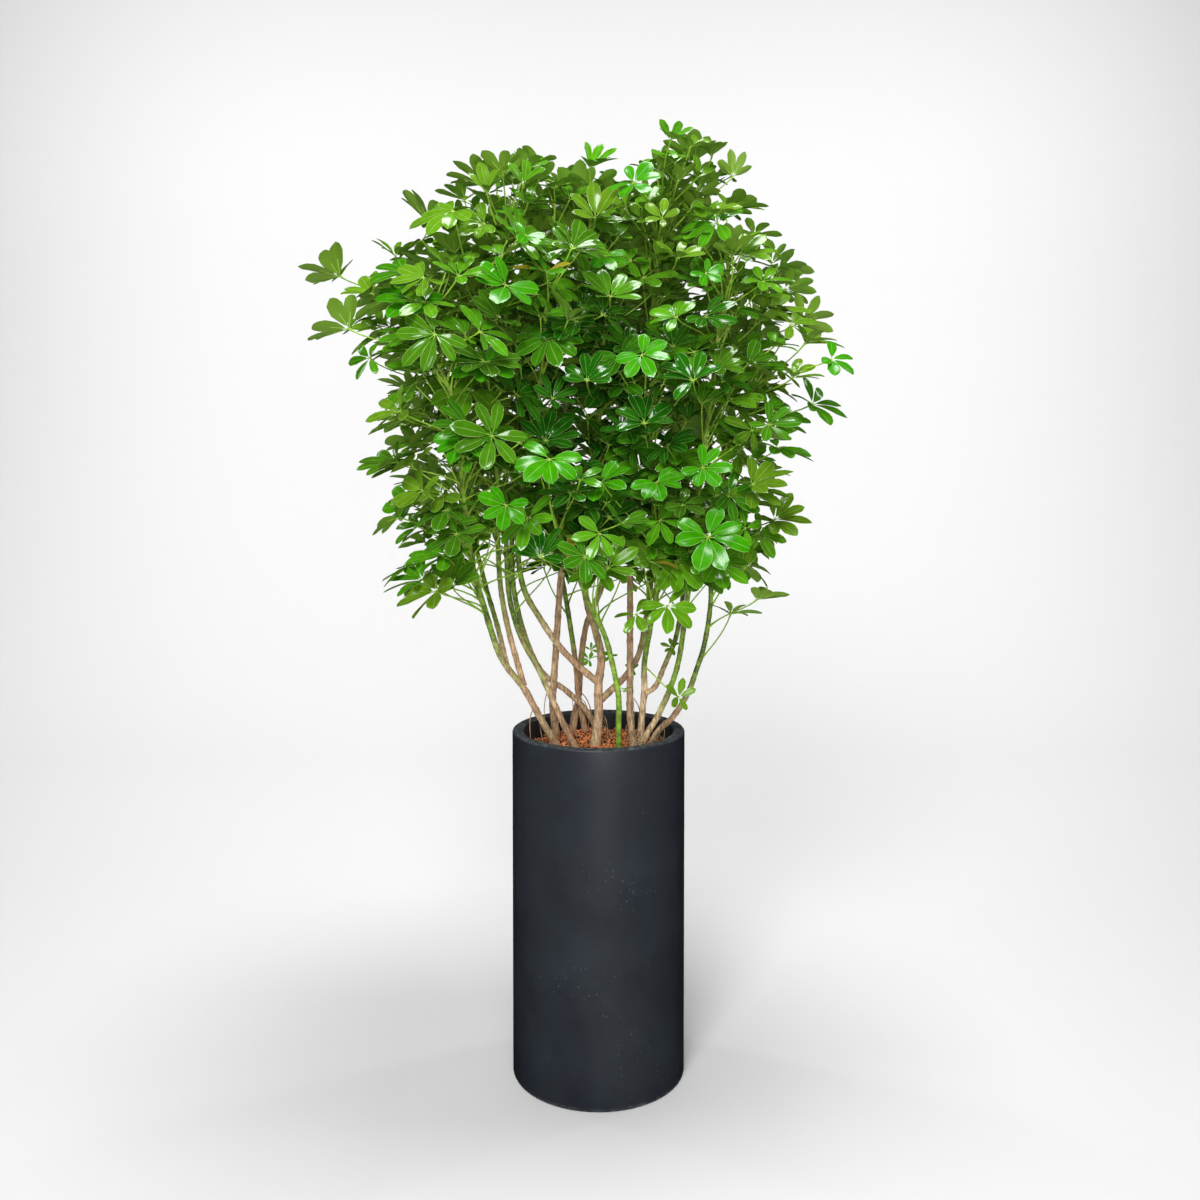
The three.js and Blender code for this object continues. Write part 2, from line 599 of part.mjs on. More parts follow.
// The first try at which a leaf stays clear of all else, or nothing. Only its stalk may meet the
// stem's own shoots and stalks.
function settle(stem, leaf, index, number) {
  for (let attempt = 0; attempt < TRIES; attempt++) {
    const pose = poseOf(stem, leaf, attempt, index, number);
    const own = (other) => other.stem === index && other.kind !== "blade";
    const met =
      touches(bladeOnly(pose, CLEARANCE), () => false) || touches(leafSolid(pose, CLEARANCE), own);
    if (!met) return pose;
  }
  return null;
}

// ---- The plant ----------------------------------------------------------------------------------
const two = (number) => String(number).padStart(2, "0");
const union = (solids) => solids.reduce((sum, solid) => sum.add(solid));

const stems = STEMS.map(grow);
stems.forEach((stem, index) => {
  stem.shoot.forEach((solid) => remember(solid, index, "shoot"));
  if (stem.wood) remember(stem.wood, index, "wood");
});

const pot = planter();
remember(pot, -1, "planter");

// The outer leaves settle first, stem by stem, and then the winding ones.
const waiting = stems.flatMap((stem, index) =>
  leavesOf(stem, index).map((leaf, number) => ({
    stem, leaf, index, number, later: number >= stem.leaves.length,
  })),
);
const foliage = stems.map(() => []);
for (const later of [false, true])
  for (const { stem, leaf, index, number } of waiting.filter((entry) => entry.later === later)) {
    const pose = settle(stem, leaf, index, number);
    if (!pose) continue;
    const whole = leafSolid(pose);
    foliage[index].push(whole);
    remember(bladeOnly(pose, 0), index, "blade");
    remember(whole, index, "leaf");
  }

const plant = new THREE.Group();
plant.add(meshOf("planter", pot, FINISH.planter));

const holes = union(stems.flatMap((stem) => stem.holes));
plant.add(meshOf("potting_soil", pottingSoil().subtract(holes), FINISH.soil));
plant.add(meshOf("husk_mulch", mulch().subtract(holes), FINISH.mulch));

const bases = Math.max(...STEMS.map((stem) => stem.base));
for (let base = 1; base <= bases; base++) {
  const wood = union(stems.filter((stem) => stem.base === base).map((stem) => stem.wood));
  plant.add(meshOf("woody_base_" + two(base), wood, FINISH.bark));
}
stems.forEach((stem, index) => {
  const shoot = union([...stem.shoot, ...foliage[index]]);
  plant.add(meshOf("leafy_stem_" + two(index + 1), shoot, FINISH.leaf));
});

export default plant;
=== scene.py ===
"""Looks of a potted umbrella plant: a bushy dwarf schefflera in a tall round planter.

Run as a script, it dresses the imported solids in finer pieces: rounded stems, arched leaflets on
their stalks, loose husk chips and a cast planter. Places of the plant are in millimetres, as in the
solids, and are turned to metres where meshes are made."""
import json
import math

import bpy
import numpy as np
from bpy.props import FloatProperty, FloatVectorProperty, IntProperty, PointerProperty
from mathutils import Matrix, Vector, kdtree

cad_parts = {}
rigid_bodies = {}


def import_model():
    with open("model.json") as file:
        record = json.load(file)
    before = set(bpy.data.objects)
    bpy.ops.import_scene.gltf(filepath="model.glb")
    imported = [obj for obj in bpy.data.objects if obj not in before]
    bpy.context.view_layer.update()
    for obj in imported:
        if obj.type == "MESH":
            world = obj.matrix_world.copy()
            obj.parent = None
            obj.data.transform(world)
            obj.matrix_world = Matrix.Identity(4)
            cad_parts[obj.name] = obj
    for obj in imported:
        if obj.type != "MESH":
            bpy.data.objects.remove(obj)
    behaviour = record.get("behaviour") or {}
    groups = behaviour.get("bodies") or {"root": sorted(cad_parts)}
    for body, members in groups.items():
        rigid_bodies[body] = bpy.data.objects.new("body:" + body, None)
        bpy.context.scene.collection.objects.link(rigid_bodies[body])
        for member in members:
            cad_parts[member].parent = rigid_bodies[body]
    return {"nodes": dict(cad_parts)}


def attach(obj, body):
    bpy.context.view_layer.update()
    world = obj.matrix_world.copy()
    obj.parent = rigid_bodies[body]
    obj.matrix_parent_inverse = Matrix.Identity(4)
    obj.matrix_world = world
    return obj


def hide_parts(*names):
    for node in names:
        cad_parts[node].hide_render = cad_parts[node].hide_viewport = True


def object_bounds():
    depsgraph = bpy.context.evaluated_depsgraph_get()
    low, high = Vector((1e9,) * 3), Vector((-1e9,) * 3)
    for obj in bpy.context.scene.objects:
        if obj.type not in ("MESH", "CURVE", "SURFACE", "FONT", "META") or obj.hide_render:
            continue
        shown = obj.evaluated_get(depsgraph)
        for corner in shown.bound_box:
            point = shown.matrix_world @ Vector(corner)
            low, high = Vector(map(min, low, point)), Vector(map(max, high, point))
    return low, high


bl_info = {
    "name": "Potted Umbrella Plant",
    "version": (1, 0, 0),
    "blender": (4, 5, 0),
    "location": "3D View > Sidebar > Umbrella Plant",
    "description": "Dresses the solids of a dwarf umbrella plant in a tall round planter",
    "category": "Object",
}

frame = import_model()
CAD_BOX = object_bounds()

# ---- Sizes of the plant, the same as in the solids, in millimetres ---------------------------------
MM = 0.001
RIM = 600
SOIL_TOP = 557.7
STEM_FOOT = SOIL_TOP - 15
GAP = 0.3  # between pieces that touch
# Where the camera stands, from the planter's axis and foot, and how many degrees down it looks.
VIEW_DISTANCE, VIEW_HEIGHT, VIEW_DROP = 2080, 1103, 2
SHOOT_STEP = 105  # about one straight stretch of green shoot
PETIOLE_LENGTH, PETIOLE_RISE = 105, 40
HALF_BLADE = 0.6  # half a leaf's thickness
BLADE_WIDTH = 0.19  # half a leaflet's width, as a share of its length
FEW, BELOW, MANY, FROM = 5, 52, 7, 69  # few leaflets below one length, and many from another on
FACING_UP, FACING_OUT, FACING_MIDDLE = 0.45, 1.0, -40
YOUNG_FROM, YOUNG_OVER = 1430, 150  # leaves grow younger from one height on, over another
SPIRAL_TURN = 137.5  # degrees from one leaf to the next round a stem
# Leaves that wind up a stem: their climb at its tip and its foot, and the least and how much more of
# their hub's reach and their leaflets' length.
WINDING_CLIMB, WINDING_REACH, WINDING_LENGTH = (22, 58), (88, 34), (58, 18)
TRIES = 90

# ---- Sizes of what the solids don't have, in millimetres -------------------------------------------
BOX_LOW, BOX_HIGH = (np.array(corner) / MM for corner in CAD_BOX)
LEAF_INSIDE, LEAFLET_INSIDE = 8, 7  # how far leaves and leaflets stay inside that box
# The crown's middle and half sizes. Leaves are painted darker towards the middle: partly their age,
# partly painted shade.
CROWN_MIDDLE, CROWN_HALF_HIGH, CROWN_HALF_WIDE = 1150, 400, 330
TURNED_WITHIN, TURNED_SHARE = 260, 0.45  # leaves in the crown's middle, some of them turned about
STANCE_VARIETY, ADDED_VARIETY = 0.35, 0.5  # how differently leaves stand, and those added
# Leaves added inside the crown: as above, then how near the next leaf may be, how far off it may be
# at most, and how far round a hub others count.
ADDED_CLIMB, ADDED_REACH, ADDED_LENGTH = (15, 62), (60, 90), (50, 28)
CLEAR_OF_LEAVES, CLOSE_TO_LEAVES, NEIGHBOURS = 9.5, 96, 220
WOOD_JOINTS, SHOOT_JOINTS, FORK_JOINTS = 30, 38, 34  # from one joint to the next
JOINT_HALF, JOINT_SWELLING = 3.0, 0.12
FOOT_HALF, FOOT_HEIGHT, FOOT_SWELLING = 18, 16, 0.16
TIP_TAPER = 16
WOOD_SIDES, SHOOT_SIDES, SHOOT_RELIEF = 12, 8, 0.0003  # the relief is in metres
PATH_STOPS = 200
ADDED_KEY, SPROUT_KEY, ROOTLET_KEY = 300, 900, 950  # where the draws of added pieces start

# One entry for each leafy stem. base: the woody base that it shares. radius: at the foot and at the
# tip. bark: the height where brown bark turns into green shoot. route: the stem's line from the foot
# up, as seen from the front: how far across, how high, how far behind the planter's axis. forks: side
# shoots. leaves: the hub of each outer leaf and its leaflets' length. spiral: how many more wind up.
STEMS = (
    dict(
        base=1, radius=(6.0, 3.6), bark=750, spiral=0,
        route=((-70, 565, -20), (-100, 615, -38), (-130, 670, -52), (-170, 725, -75), (-200, 815, -100),
            (-220, 890, -118), (-230, 975, -135), (-240, 1070, -148), (-250, 1165, -160),
            (-280, 1240, -172), (-310, 1315, -180)),
        leaves=((-320, 1345, -200, 72), (-430, 1295, -120, 78), (-320, 1200, -150, 76),
            (-335, 1140, -110, 72), (-325, 1060, -150, 78), (-230, 1105, -230, 58),
            (-305, 1015, -175, 64), (-310, 995, -100, 56), (-300, 960, -140, 62),
            (-245, 940, -200, 66), (-325, 885, -60, 70), (-305, 860, -115, 78), (-280, 840, -165, 82)),
    ),
    dict(
        base=1, radius=(5.2, 3.2), bark=800, spiral=0,
        route=((-130, 675, -50), (-155, 765, -44), (-170, 845, -52), (-175, 935, -68),
            (-175, 1020, -82), (-180, 1105, -95), (-190, 1195, -108), (-200, 1280, -112),
            (-215, 1360, -105)),
        leaves=((-190, 1230, -200, 76), (-160, 1370, -205, 68), (-245, 1320, -110, 42),
            (-205, 1425, -70, 78), (-160, 990, -235, 52), (-125, 1455, -190, 44),
            (-170, 1130, -60, 60)),
    ),
    dict(
        base=1, radius=(4.8, 3.0), bark=765, spiral=2,
        route=((-160, 710, -66), (-175, 775, -20), (-195, 845, 20), (-215, 925, 50),
            (-235, 1000, 75), (-260, 1090, 100), (-280, 1175, 125), (-310, 1260, 145),
            (-335, 1350, 155)),
        leaves=((-445, 1385, 40, 88), (-350, 1420, 60, 60), (-390, 1355, -10, 64),
            (-290, 1475, 95, 86), (-395, 1245, -20, 48), (-290, 1365, 200, 72)),
    ),
    dict(
        base=2, radius=(5.6, 3.2), bark=725, spiral=0,
        route=((-40, 565, -25), (-60, 605, -23), (-80, 650, -19), (-105, 705, -12), (-135, 760, -5),
            (-155, 830, 0), (-160, 915, 2), (-160, 1020, -2), (-160, 1125, -8), (-160, 1230, -14),
            (-160, 1330, -18), (-160, 1425, -22), (-160, 1490, -25)),
        leaves=((-200, 1540, -20, 80), (-165, 1560, -60, 64), (-125, 1540, -85, 58),
            (-190, 1475, -60, 64), (-130, 1495, -20, 58), (-135, 1315, -60, 50)),
    ),
    dict(
        base=3, radius=(6.4, 3.6), bark=1120, spiral=5,
        route=((-75, 595, 68), (-80, 645, 57), (-75, 725, 52), (-70, 805, 48), (-65, 885, 44),
            (-65, 975, 40), (-60, 1070, 38), (-55, 1175, 38), (-35, 1280, 42), (-25, 1375, 46),
            (-15, 1455, 48), (-15, 1515, 48)),
        forks=(((-50, 1200, 40), (-30, 1280, 120), (-20, 1350, 190), (-10, 1420, 240),
            (-15, 1480, 260)),),
        leaves=((-15, 1570, 10, 72), (-45, 1515, 70, 52), (10, 1420, -80, 50), (35, 1480, 60, 64)),
    ),
    dict(
        base=4, radius=(5.4, 3.2), bark=735, spiral=2,
        route=((-5, 605, 84), (-25, 635, 76), (-55, 665, 73), (-95, 695, 66), (-120, 740, 44),
            (-140, 805, 25), (-150, 870, 20), (-150, 960, 22), (-145, 1055, 26), (-130, 1160, 34),
            (-110, 1260, 42), (-95, 1365, 48), (-80, 1455, 52), (-75, 1500, 54)),
        leaves=((-80, 1540, 30, 66), (-55, 1435, -110, 62), (-25, 1380, -100, 68),
            (-110, 1515, 90, 62), (-100, 1375, 120, 70)),
    ),
    dict(
        base=5, radius=(6.0, 3.2), bark=800, spiral=0,
        route=((0, 680, 0), (-30, 705, -5), (-65, 740, -12), (-100, 790, -20), (-130, 845, -28),
            (-140, 915, -36), (-135, 1000, -46), (-125, 1090, -60), (-105, 1175, -80),
            (-95, 1260, -98), (-90, 1340, -112)),
        leaves=((-80, 1175, -150, 52), (-100, 1295, -30, 62), (-145, 1270, -150, 52),
            (-110, 1105, 20, 64), (-180, 1055, 40, 60)),
    ),
    dict(
        base=5, radius=(8.4, 3.4), bark=830, spiral=1,
        route=((-5, 575, -10), (0, 620, -4), (0, 675, 0), (5, 725, 2), (-5, 770, 6), (-20, 820, 12),
            (-30, 900, 18), (-20, 1000, 18), (-5, 1105, 10), (5, 1200, -4), (10, 1290, -22)),
        leaves=((20, 1350, -130, 72), (35, 890, -130, 56), (-25, 920, -110, 50),
            (50, 1125, -110, 56), (-20, 1205, -160, 56), (-30, 1295, 75, 66)),
    ),
    dict(
        base=5, radius=(6.2, 3.2), bark=775, spiral=0,
        route=((5, 650, 0), (25, 670, 6), (50, 695, 14), (70, 730, 20), (80, 775, 24), (90, 845, 22),
            (95, 935, 14), (95, 1020, 0), (90, 1105, -30), (80, 1185, -70)),
        leaves=((75, 1250, -200, 58), (80, 1130, -160, 66), (115, 1200, -60, 60),
            (45, 970, 120, 62)),
    ),
    dict(
        base=0, radius=(5.2, 3.2), bark=0, spiral=0,
        route=((35, 555, -90), (35, 600, -92), (35, 655, -98), (25, 710, -103), (10, 765, -108),
            (-15, 815, -116), (-35, 865, -126), (-55, 905, -138), (-70, 940, -148)),
        leaves=((-85, 1070, -250, 66), (-100, 900, -215, 58), (-40, 1000, -100, 56)),
    ),
    dict(
        base=6, radius=(6.2, 3.4), bark=930, spiral=3,
        route=((60, 575, -20), (55, 630, -17), (55, 700, -14), (55, 770, -8), (55, 845, 0),
            (55, 935, 10), (60, 1035, 20), (70, 1140, 30), (85, 1255, 40), (95, 1360, 50),
            (105, 1445, 58), (110, 1500, 60)),
        leaves=((135, 1545, -10, 58), (100, 1560, 50, 96), (60, 1545, -60, 60),
            (120, 1620, -30, 54), (110, 1485, -90, 44), (135, 1415, -110, 66), (70, 1435, 150, 70),
            (160, 1290, 100, 66)),
    ),
    dict(
        base=7, radius=(6.0, 3.6), bark=705, spiral=0,
        route=((75, 565, -45), (75, 610, -46), (80, 665, -48), (80, 715, -50), (90, 775, -54),
            (100, 840, -62), (100, 900, -72)),
        leaves=((5, 1030, -170, 66), (100, 1030, -160, 54), (145, 990, -165, 48),
            (120, 815, -170, 56), (65, 800, -150, 46), (140, 655, -90, 42)),
    ),
    dict(
        base=7, radius=(4.6, 3.2), bark=722, spiral=3,
        route=((80, 660, -48), (100, 675, -42), (115, 710, -26), (135, 760, -4), (145, 820, 20),
            (155, 900, 46), (170, 985, 74), (185, 1070, 98), (210, 1160, 120), (240, 1245, 138),
            (275, 1320, 148)),
        leaves=((295, 1325, 50, 84), (350, 1305, 60, 80), (255, 1245, 20, 66),
            (220, 1350, 160, 74), (285, 1360, 110, 66)),
    ),
    dict(
        base=8, radius=(5.4, 3.2), bark=668, spiral=0,
        route=((72, 560, -72), (84, 588, -69), (105, 625, -64), (125, 670, -60), (140, 720, -58),
            (150, 790, -58), (160, 870, -58), (170, 970, -54), (180, 1070, -46), (195, 1175, -36),
            (205, 1270, -26), (220, 1350, -16), (225, 1410, -8)),
        leaves=((230, 1420, -70, 76), (190, 935, -200, 78), (180, 1055, -190, 56),
            (165, 1205, -210, 68), (135, 1315, -160, 56), (170, 1425, -90, 74),
            (185, 1390, -130, 38)),
    ),
    dict(
        base=9, radius=(5.4, 3.2), bark=662, spiral=0,
        route=((92, 572, -20), (106, 597, -22), (130, 620, -24), (155, 660, -24), (170, 700, -20),
            (185, 750, -14), (195, 820, -6), (195, 900, 0), (205, 985, 4), (220, 1070, 8),
            (245, 1140, 10), (270, 1195, 10)),
        leaves=((275, 825, -50, 62), (230, 800, 30, 64), (255, 880, -90, 52), (305, 965, -60, 70),
            (255, 950, -120, 48), (265, 1025, -130, 82), (310, 1090, -60, 70), (295, 1130, -150, 56),
            (370, 1165, -40, 74), (335, 1210, -100, 68), (355, 1270, -60, 80), (405, 1245, -100, 50)),
    ),
    dict(
        base=10, radius=(6.0, 3.4), bark=860, spiral=8,
        route=((-45, 600, 108), (-35, 655, 107), (-30, 725, 102), (-20, 785, 96), (5, 845, 93),
            (25, 915, 96), (40, 1000, 104), (55, 1105, 116), (75, 1210, 128), (105, 1315, 140),
            (135, 1420, 150), (160, 1515, 150)),
        forks=(((25, 925, 97), (40, 1000, 160), (65, 1105, 220), (95, 1210, 260), (105, 1315, 275),
            (110, 1400, 270)),),
        leaves=((195, 1590, 60, 80), (170, 1580, 120, 72), (225, 1500, 85, 78),
            (235, 1430, 130, 66)),
    ),
    dict(
        base=11, radius=(5.2, 3.0), bark=705, spiral=8,
        route=((-25, 605, 98), (-35, 655, 90), (-40, 715, 78), (-50, 785, 74), (-60, 845, 80),
            (-75, 925, 94), (-95, 1020, 112), (-120, 1125, 130), (-145, 1230, 150),
            (-170, 1330, 168), (-195, 1420, 178)),
        forks=(((-75, 925, 94), (-105, 1000, 150), (-145, 1090, 205), (-180, 1185, 245),
            (-205, 1280, 262), (-220, 1365, 262)),),
        leaves=((-230, 1515, 150, 68), (-225, 1475, 210, 68)),
    ),
)
# Leaves that stand out, each (stem, leaf), both counted from 0: new ones that face the front, old
# glossy ones with folded leaflets, and dull ones that turn away.
BRIGHT = {(0, 0), (0, 5), (1, 0), (1, 1), (1, 4), (1, 5), (4, 2), (8, 0), (9, 0), (10, 2), (11, 0),
          (11, 1), (13, 1), (13, 2), (13, 6), (14, 11)}
GLOSSY = {(7, 1), (7, 2), (7, 4), (8, 1), (9, 1), (13, 3)}
DULL = {(2, 0), (2, 1), (2, 2), (2, 3), (3, 0), (3, 1), (10, 0), (10, 1), (10, 5), (12, 1), (13, 0),
        (13, 5), (14, 0), (14, 5), (14, 9), (14, 10), (15, 2), (16, 0)}
# The uneven top and foot of the crown as seen from the front, each (how far across, how high). The
# leaves that are not in the solids stay between the two.
CROWN_TOP = ((-520, 1380), (-400, 1400), (-280, 1530), (-230, 1590), (-150, 1618), (-60, 1600),
             (0, 1575), (40, 1555), (80, 1600), (110, 1645), (250, 1645), (290, 1560), (330, 1480),
             (420, 1330))
CROWN_FOOT = ((-420, 830), (-260, 830), (-220, 930), (-150, 940), (-90, 872), (120, 862), (250, 850),
              (300, 830))
# Small shoots low on the wood, each (stem, hub, its leaflets' length).
SPROUTS = ((7, (-16, 722, -12), 21), (7, (22, 728, -14), 19), (7, (-14, 738, -16), 16),
           (8, (60, 705, -10), 17), (12, (128, 742, -30), 22), (9, (50, 668, -112), 14))


# ---- Small helpers ---------------------------------------------------------------------------------
def linear(hex_colour):
    """An sRGB hex colour as linear RGB."""
    parts = [int(hex_colour[i:i + 2], 16) / 255 for i in (1, 3, 5)]
    return tuple(p / 12.92 if p <= 0.04045 else ((p + 0.055) / 1.055) ** 2.4 for p in parts)


def rgba(colour):
    """A colour with full opacity, from linear RGB or an sRGB hex value."""
    return (*(linear(colour) if isinstance(colour, str) else tuple(colour)[:3]), 1.0)


def lerp(a, b, share):
    return a + (b - a) * share


def unit(vector):
    return vector / np.linalg.norm(vector)


def seen(across, up, depth):
    """The real place of a point that is given as seen from the front."""
    spread = 1 + depth / VIEW_DISTANCE
    return np.array((across * spread, depth, VIEW_HEIGHT + (up - VIEW_HEIGHT) * spread))


def below(places, profile):
    """How far real places lie below a profile that is given as seen from the front."""
    x, y, z = np.transpose(places)
    spread = 1 + y / VIEW_DISTANCE
    return np.interp(x / spread, *zip(*profile)) - VIEW_HEIGHT - (z - VIEW_HEIGHT) / spread


def draw(*keys):
    """A seeded draw from 0 to 1: the same keys always give the same number."""
    word = 0xFFFFFFFF
    mixed = 2166136261
    for key in keys:
        mixed = ((mixed ^ (key + 40503)) * 16777619) & word
        mixed = ((mixed ^ (mixed >> 13)) * 1540483477) & word
        mixed ^= mixed >> 15
    return mixed / 4294967296


def either(reach, *keys):
    """A draw from -reach to +reach."""
    return reach * (2 * draw(*keys) - 1)


def ranged(span, *keys):
    """A draw from the least value of a span, given with how much more it may be."""
    least, more = span
    return least + more * draw(*keys)


def named(sockets, name):
    """The socket in use that has a name, or that stands at a place among those in use."""
    live = [s for s in sockets if s.enabled]
    return live[name] if isinstance(name, int) else next(s for s in live if s.name == name)


def add(tree, kind, inputs=(), **settings):
    """Adds a node with its settings. Its inputs are values, nodes or (node, output)."""
    node = tree.nodes.new(kind)
    for name, value in settings.items():
        setattr(node, name, value)
    for name, value in dict(inputs).items():
        source = (value, 0) if isinstance(value, bpy.types.Node) else value
        if isinstance(source, tuple) and isinstance(source[0], bpy.types.Node):
            tree.links.new(named(source[0].outputs, source[1]), named(node.inputs, name))
        else:
            named(node.inputs, name).default_value = value
    return node


def new_material(name, **constants):
    """A material with a Principled shader whose named inputs are set to constants."""
    material = bpy.data.materials.new(name)
    material.use_nodes = True
    shader = material.node_tree.nodes["Principled BSDF"]
    for socket, value in constants.items():
        shader.inputs[socket.replace("_", " ")].default_value = value
    return material, material.node_tree, shader


def wire(tree, shader, **sources):
    """Links named inputs of the shader to nodes."""
    for socket, node in sources.items():
        tree.links.new(named(node.outputs, 0), shader.inputs[socket.replace("_", " ")])


def new_tree(name, inputs):
    """An empty geometry tree with named inputs, each (name, kind of socket, default)."""
    tree = bpy.data.node_groups.new(name, "GeometryNodeTree")
    tree.interface.new_socket("Geometry", in_out="INPUT", socket_type="NodeSocketGeometry")
    tree.interface.new_socket("Geometry", in_out="OUTPUT", socket_type="NodeSocketGeometry")
    for title, kind, default in inputs:
        item = tree.interface.new_socket(title, in_out="INPUT", socket_type="NodeSocket" + kind)
        if default is not None:
            item.default_value = default
    return tree, tree.nodes.new("NodeGroupInput"), tree.nodes.new("NodeGroupOutput")


def finished(tree, given, result, geometry):
    """A tree, ended in real mesh with the material that it is given."""
    real = add(tree, "GeometryNodeRealizeInstances", {"Geometry": geometry})
    painted = add(tree, "GeometryNodeSetMaterial", {
        "Geometry": real, "Material": (given, "Material")})
    tree.links.new(painted.outputs[0], result.inputs[0])
    return tree


def grown(source, tree, name, **inputs):
    """The result of a geometry tree on an object, as a plain mesh object. The source is removed."""
    modifier = source.modifiers.new("Growth", "NODES")
    modifier.node_group = tree
    sockets = {item.name: item.identifier for item in tree.interface.items_tree}
    for title, value in inputs.items():
        modifier[sockets[title.replace("_", " ")]] = value
    bpy.context.view_layer.update()
    graph = bpy.context.evaluated_depsgraph_get()
    mesh = bpy.data.meshes.new_from_object(
        source.evaluated_get(graph), preserve_all_data_layers=True, depsgraph=graph)
    source.modifiers.clear()
    bpy.data.objects.remove(source)
    if not mesh.polygons:
        raise RuntimeError(f"{name} has come out empty")
    return put(name, mesh)


def put(name, mesh):
    """A new object in the scene for a mesh."""
    mesh.name = name
    made = bpy.data.objects.new(name, mesh)
    bpy.context.scene.collection.objects.link(made)
    return made


def mesh_from(name, corners, edges=(), faces=(), smooth=True, **attributes):
    """A mesh from its corners in millimetres, with an attribute for each named list of values."""
    mesh = bpy.data.meshes.new(name)
    mesh.from_pydata((np.array(corners, float) * MM).tolist(), list(edges), list(faces))
    kinds = {(): ("FLOAT", "value"), (3,): ("FLOAT_VECTOR", "vector"), (4,): ("QUATERNION", "value")}
    for title, values in attributes.items():
        values = np.array(values, np.float32)
        kind, field = kinds[values.shape[1:]]
        mesh.attributes.new(title, kind, "POINT").data.foreach_set(field, values.ravel())
    if faces and smooth:
        mesh.shade_smooth()
    return mesh


def joined(parts, name):
    """Several mesh objects as one."""
    first = parts[0]
    with bpy.context.temp_override(
            active_object=first, object=first, selected_objects=parts,
            selected_editable_objects=parts):
        bpy.ops.object.join()
    first.name = first.data.name = name
    return first


# ---- How the plant grows ---------------------------------------------------------------------------
class Path:
    """A smooth line through places, read by the share of the way along it."""

    def __init__(self, places):
        places = np.array(places, float)
        before, after = 2 * places[0] - places[1], 2 * places[-1] - places[-2]
        self.places = np.vstack([before, places, after])
        self.spans = len(places) - 1

    def at(self, share):
        way = self.spans * share
        span = min(int(way), self.spans - 1)
        w = way - span
        before, start, end, after = self.places[span:span + 4]
        leave, arrive = 0.5 * (end - before), 0.5 * (after - start)
        bend = -3 * start + 3 * end - 2 * leave - arrive
        return start + w * (leave + w * (bend + w * (2 * start - 2 * end + leave + arrive)))

    def along(self, share):
        return unit(self.at(min(1, share + 0.0001)) - self.at(max(0, share - 0.0001)))

    def stops(self):
        return np.array([self.at(i / PATH_STOPS) for i in range(PATH_STOPS + 1)])

    def length(self):
        return np.linalg.norm(np.diff(self.stops(), axis=0), axis=1).sum()


class Stem:
    """A stem with its curves, each with the share from which leaves can grow on it."""

    def __init__(self, index, entry):
        self.index = index
        self.base, self.radius, self.leaves = entry["base"], entry["radius"], entry["leaves"]
        self.spiral = entry["spiral"]
        self.path = Path([seen(*place) for place in entry["route"]])
        self.in_pot = entry["route"][0][1] < RIM + 10
        self.bark = 0.0
        while entry["bark"] and self.bark < 1 and self.path.at(self.bark)[2] < entry["bark"]:
            self.bark += 0.005
        joints = self.joints()
        self.forks = []
        for route in entry.get("forks", ()):
            start, *rest = [seen(*place) for place in route]
            nearest = joints[np.argmin([np.linalg.norm(at - start) for at in joints])]
            self.forks.append(Path([nearest, *rest]))
        self.curves = [(self.path, self.bark + 0.04), *((fork, 0.12) for fork in self.forks)]
        # The places along each curve that a leaf's stalk may grow from.
        self.roots = np.array(
            [curve.at(lerp(start, 1, i / 100)) for curve, start in self.curves for i in range(101)])

    def joints(self):
        """The joints between the straight stretches of the green shoot in the solids."""
        steps = max(2, int(self.path.length() * (1 - self.bark) / SHOOT_STEP + 0.5))
        shares = [lerp(self.bark, 1, i / steps) for i in range(steps + 1)]
        places = [self.path.at(share) for share in shares]
        if self.bark:
            places[0] = places[0] + GAP * self.path.along(self.bark)
        else:
            places.insert(0, self.foot())
        return places

    def foot(self):
        """The end that stands in the pot, straight on down from the first place into the soil."""
        at, along = self.path.at(0), self.path.along(0)
        return at + along * (STEM_FOOT - at[2]) / along[2]

    def all_leaves(self):
        """Each leaf of the solids: its leaflets' length, and its place for a given shift."""
        outer = [
            (length, lambda x, y, z, a=across, u=up, d=depth: seen(a + x, u + z, d + y))
            for across, up, depth, length in self.leaves]
        winding = []
        for j in range(self.spiral):
            curve, start = self.curves[j % len(self.curves)]
            share = lerp(0.9, max(start, 0.3), j / self.spiral)
            turn = math.radians(SPIRAL_TURN * j + 360 * draw(self.index, 7))
            climb = math.radians(lerp(*WINDING_CLIMB, share) + either(8, self.index, j, 3))
            reach = ranged(WINDING_REACH, self.index, j, 4)
            hub = curve.at(share) + reach * way_of(turn, climb)
            length = int(ranged(WINDING_LENGTH, self.index, j, 5) + 0.5)
            winding.append((length, lambda x, y, z, hub=hub: hub + (x, y, z)))
        return outer + winding


def inside_box(places, margin):
    """Whether all places lie inside the solids' box by more than a margin."""
    places = np.array(places)
    return (places > BOX_LOW + margin).all() and (places < BOX_HIGH - margin).all()


def way_of(turn, climb):
    """The direction at a turn about the upright and a climb above the level."""
    return np.array((
        math.cos(climb) * math.cos(turn), math.cos(climb) * math.sin(turn), math.sin(climb)))


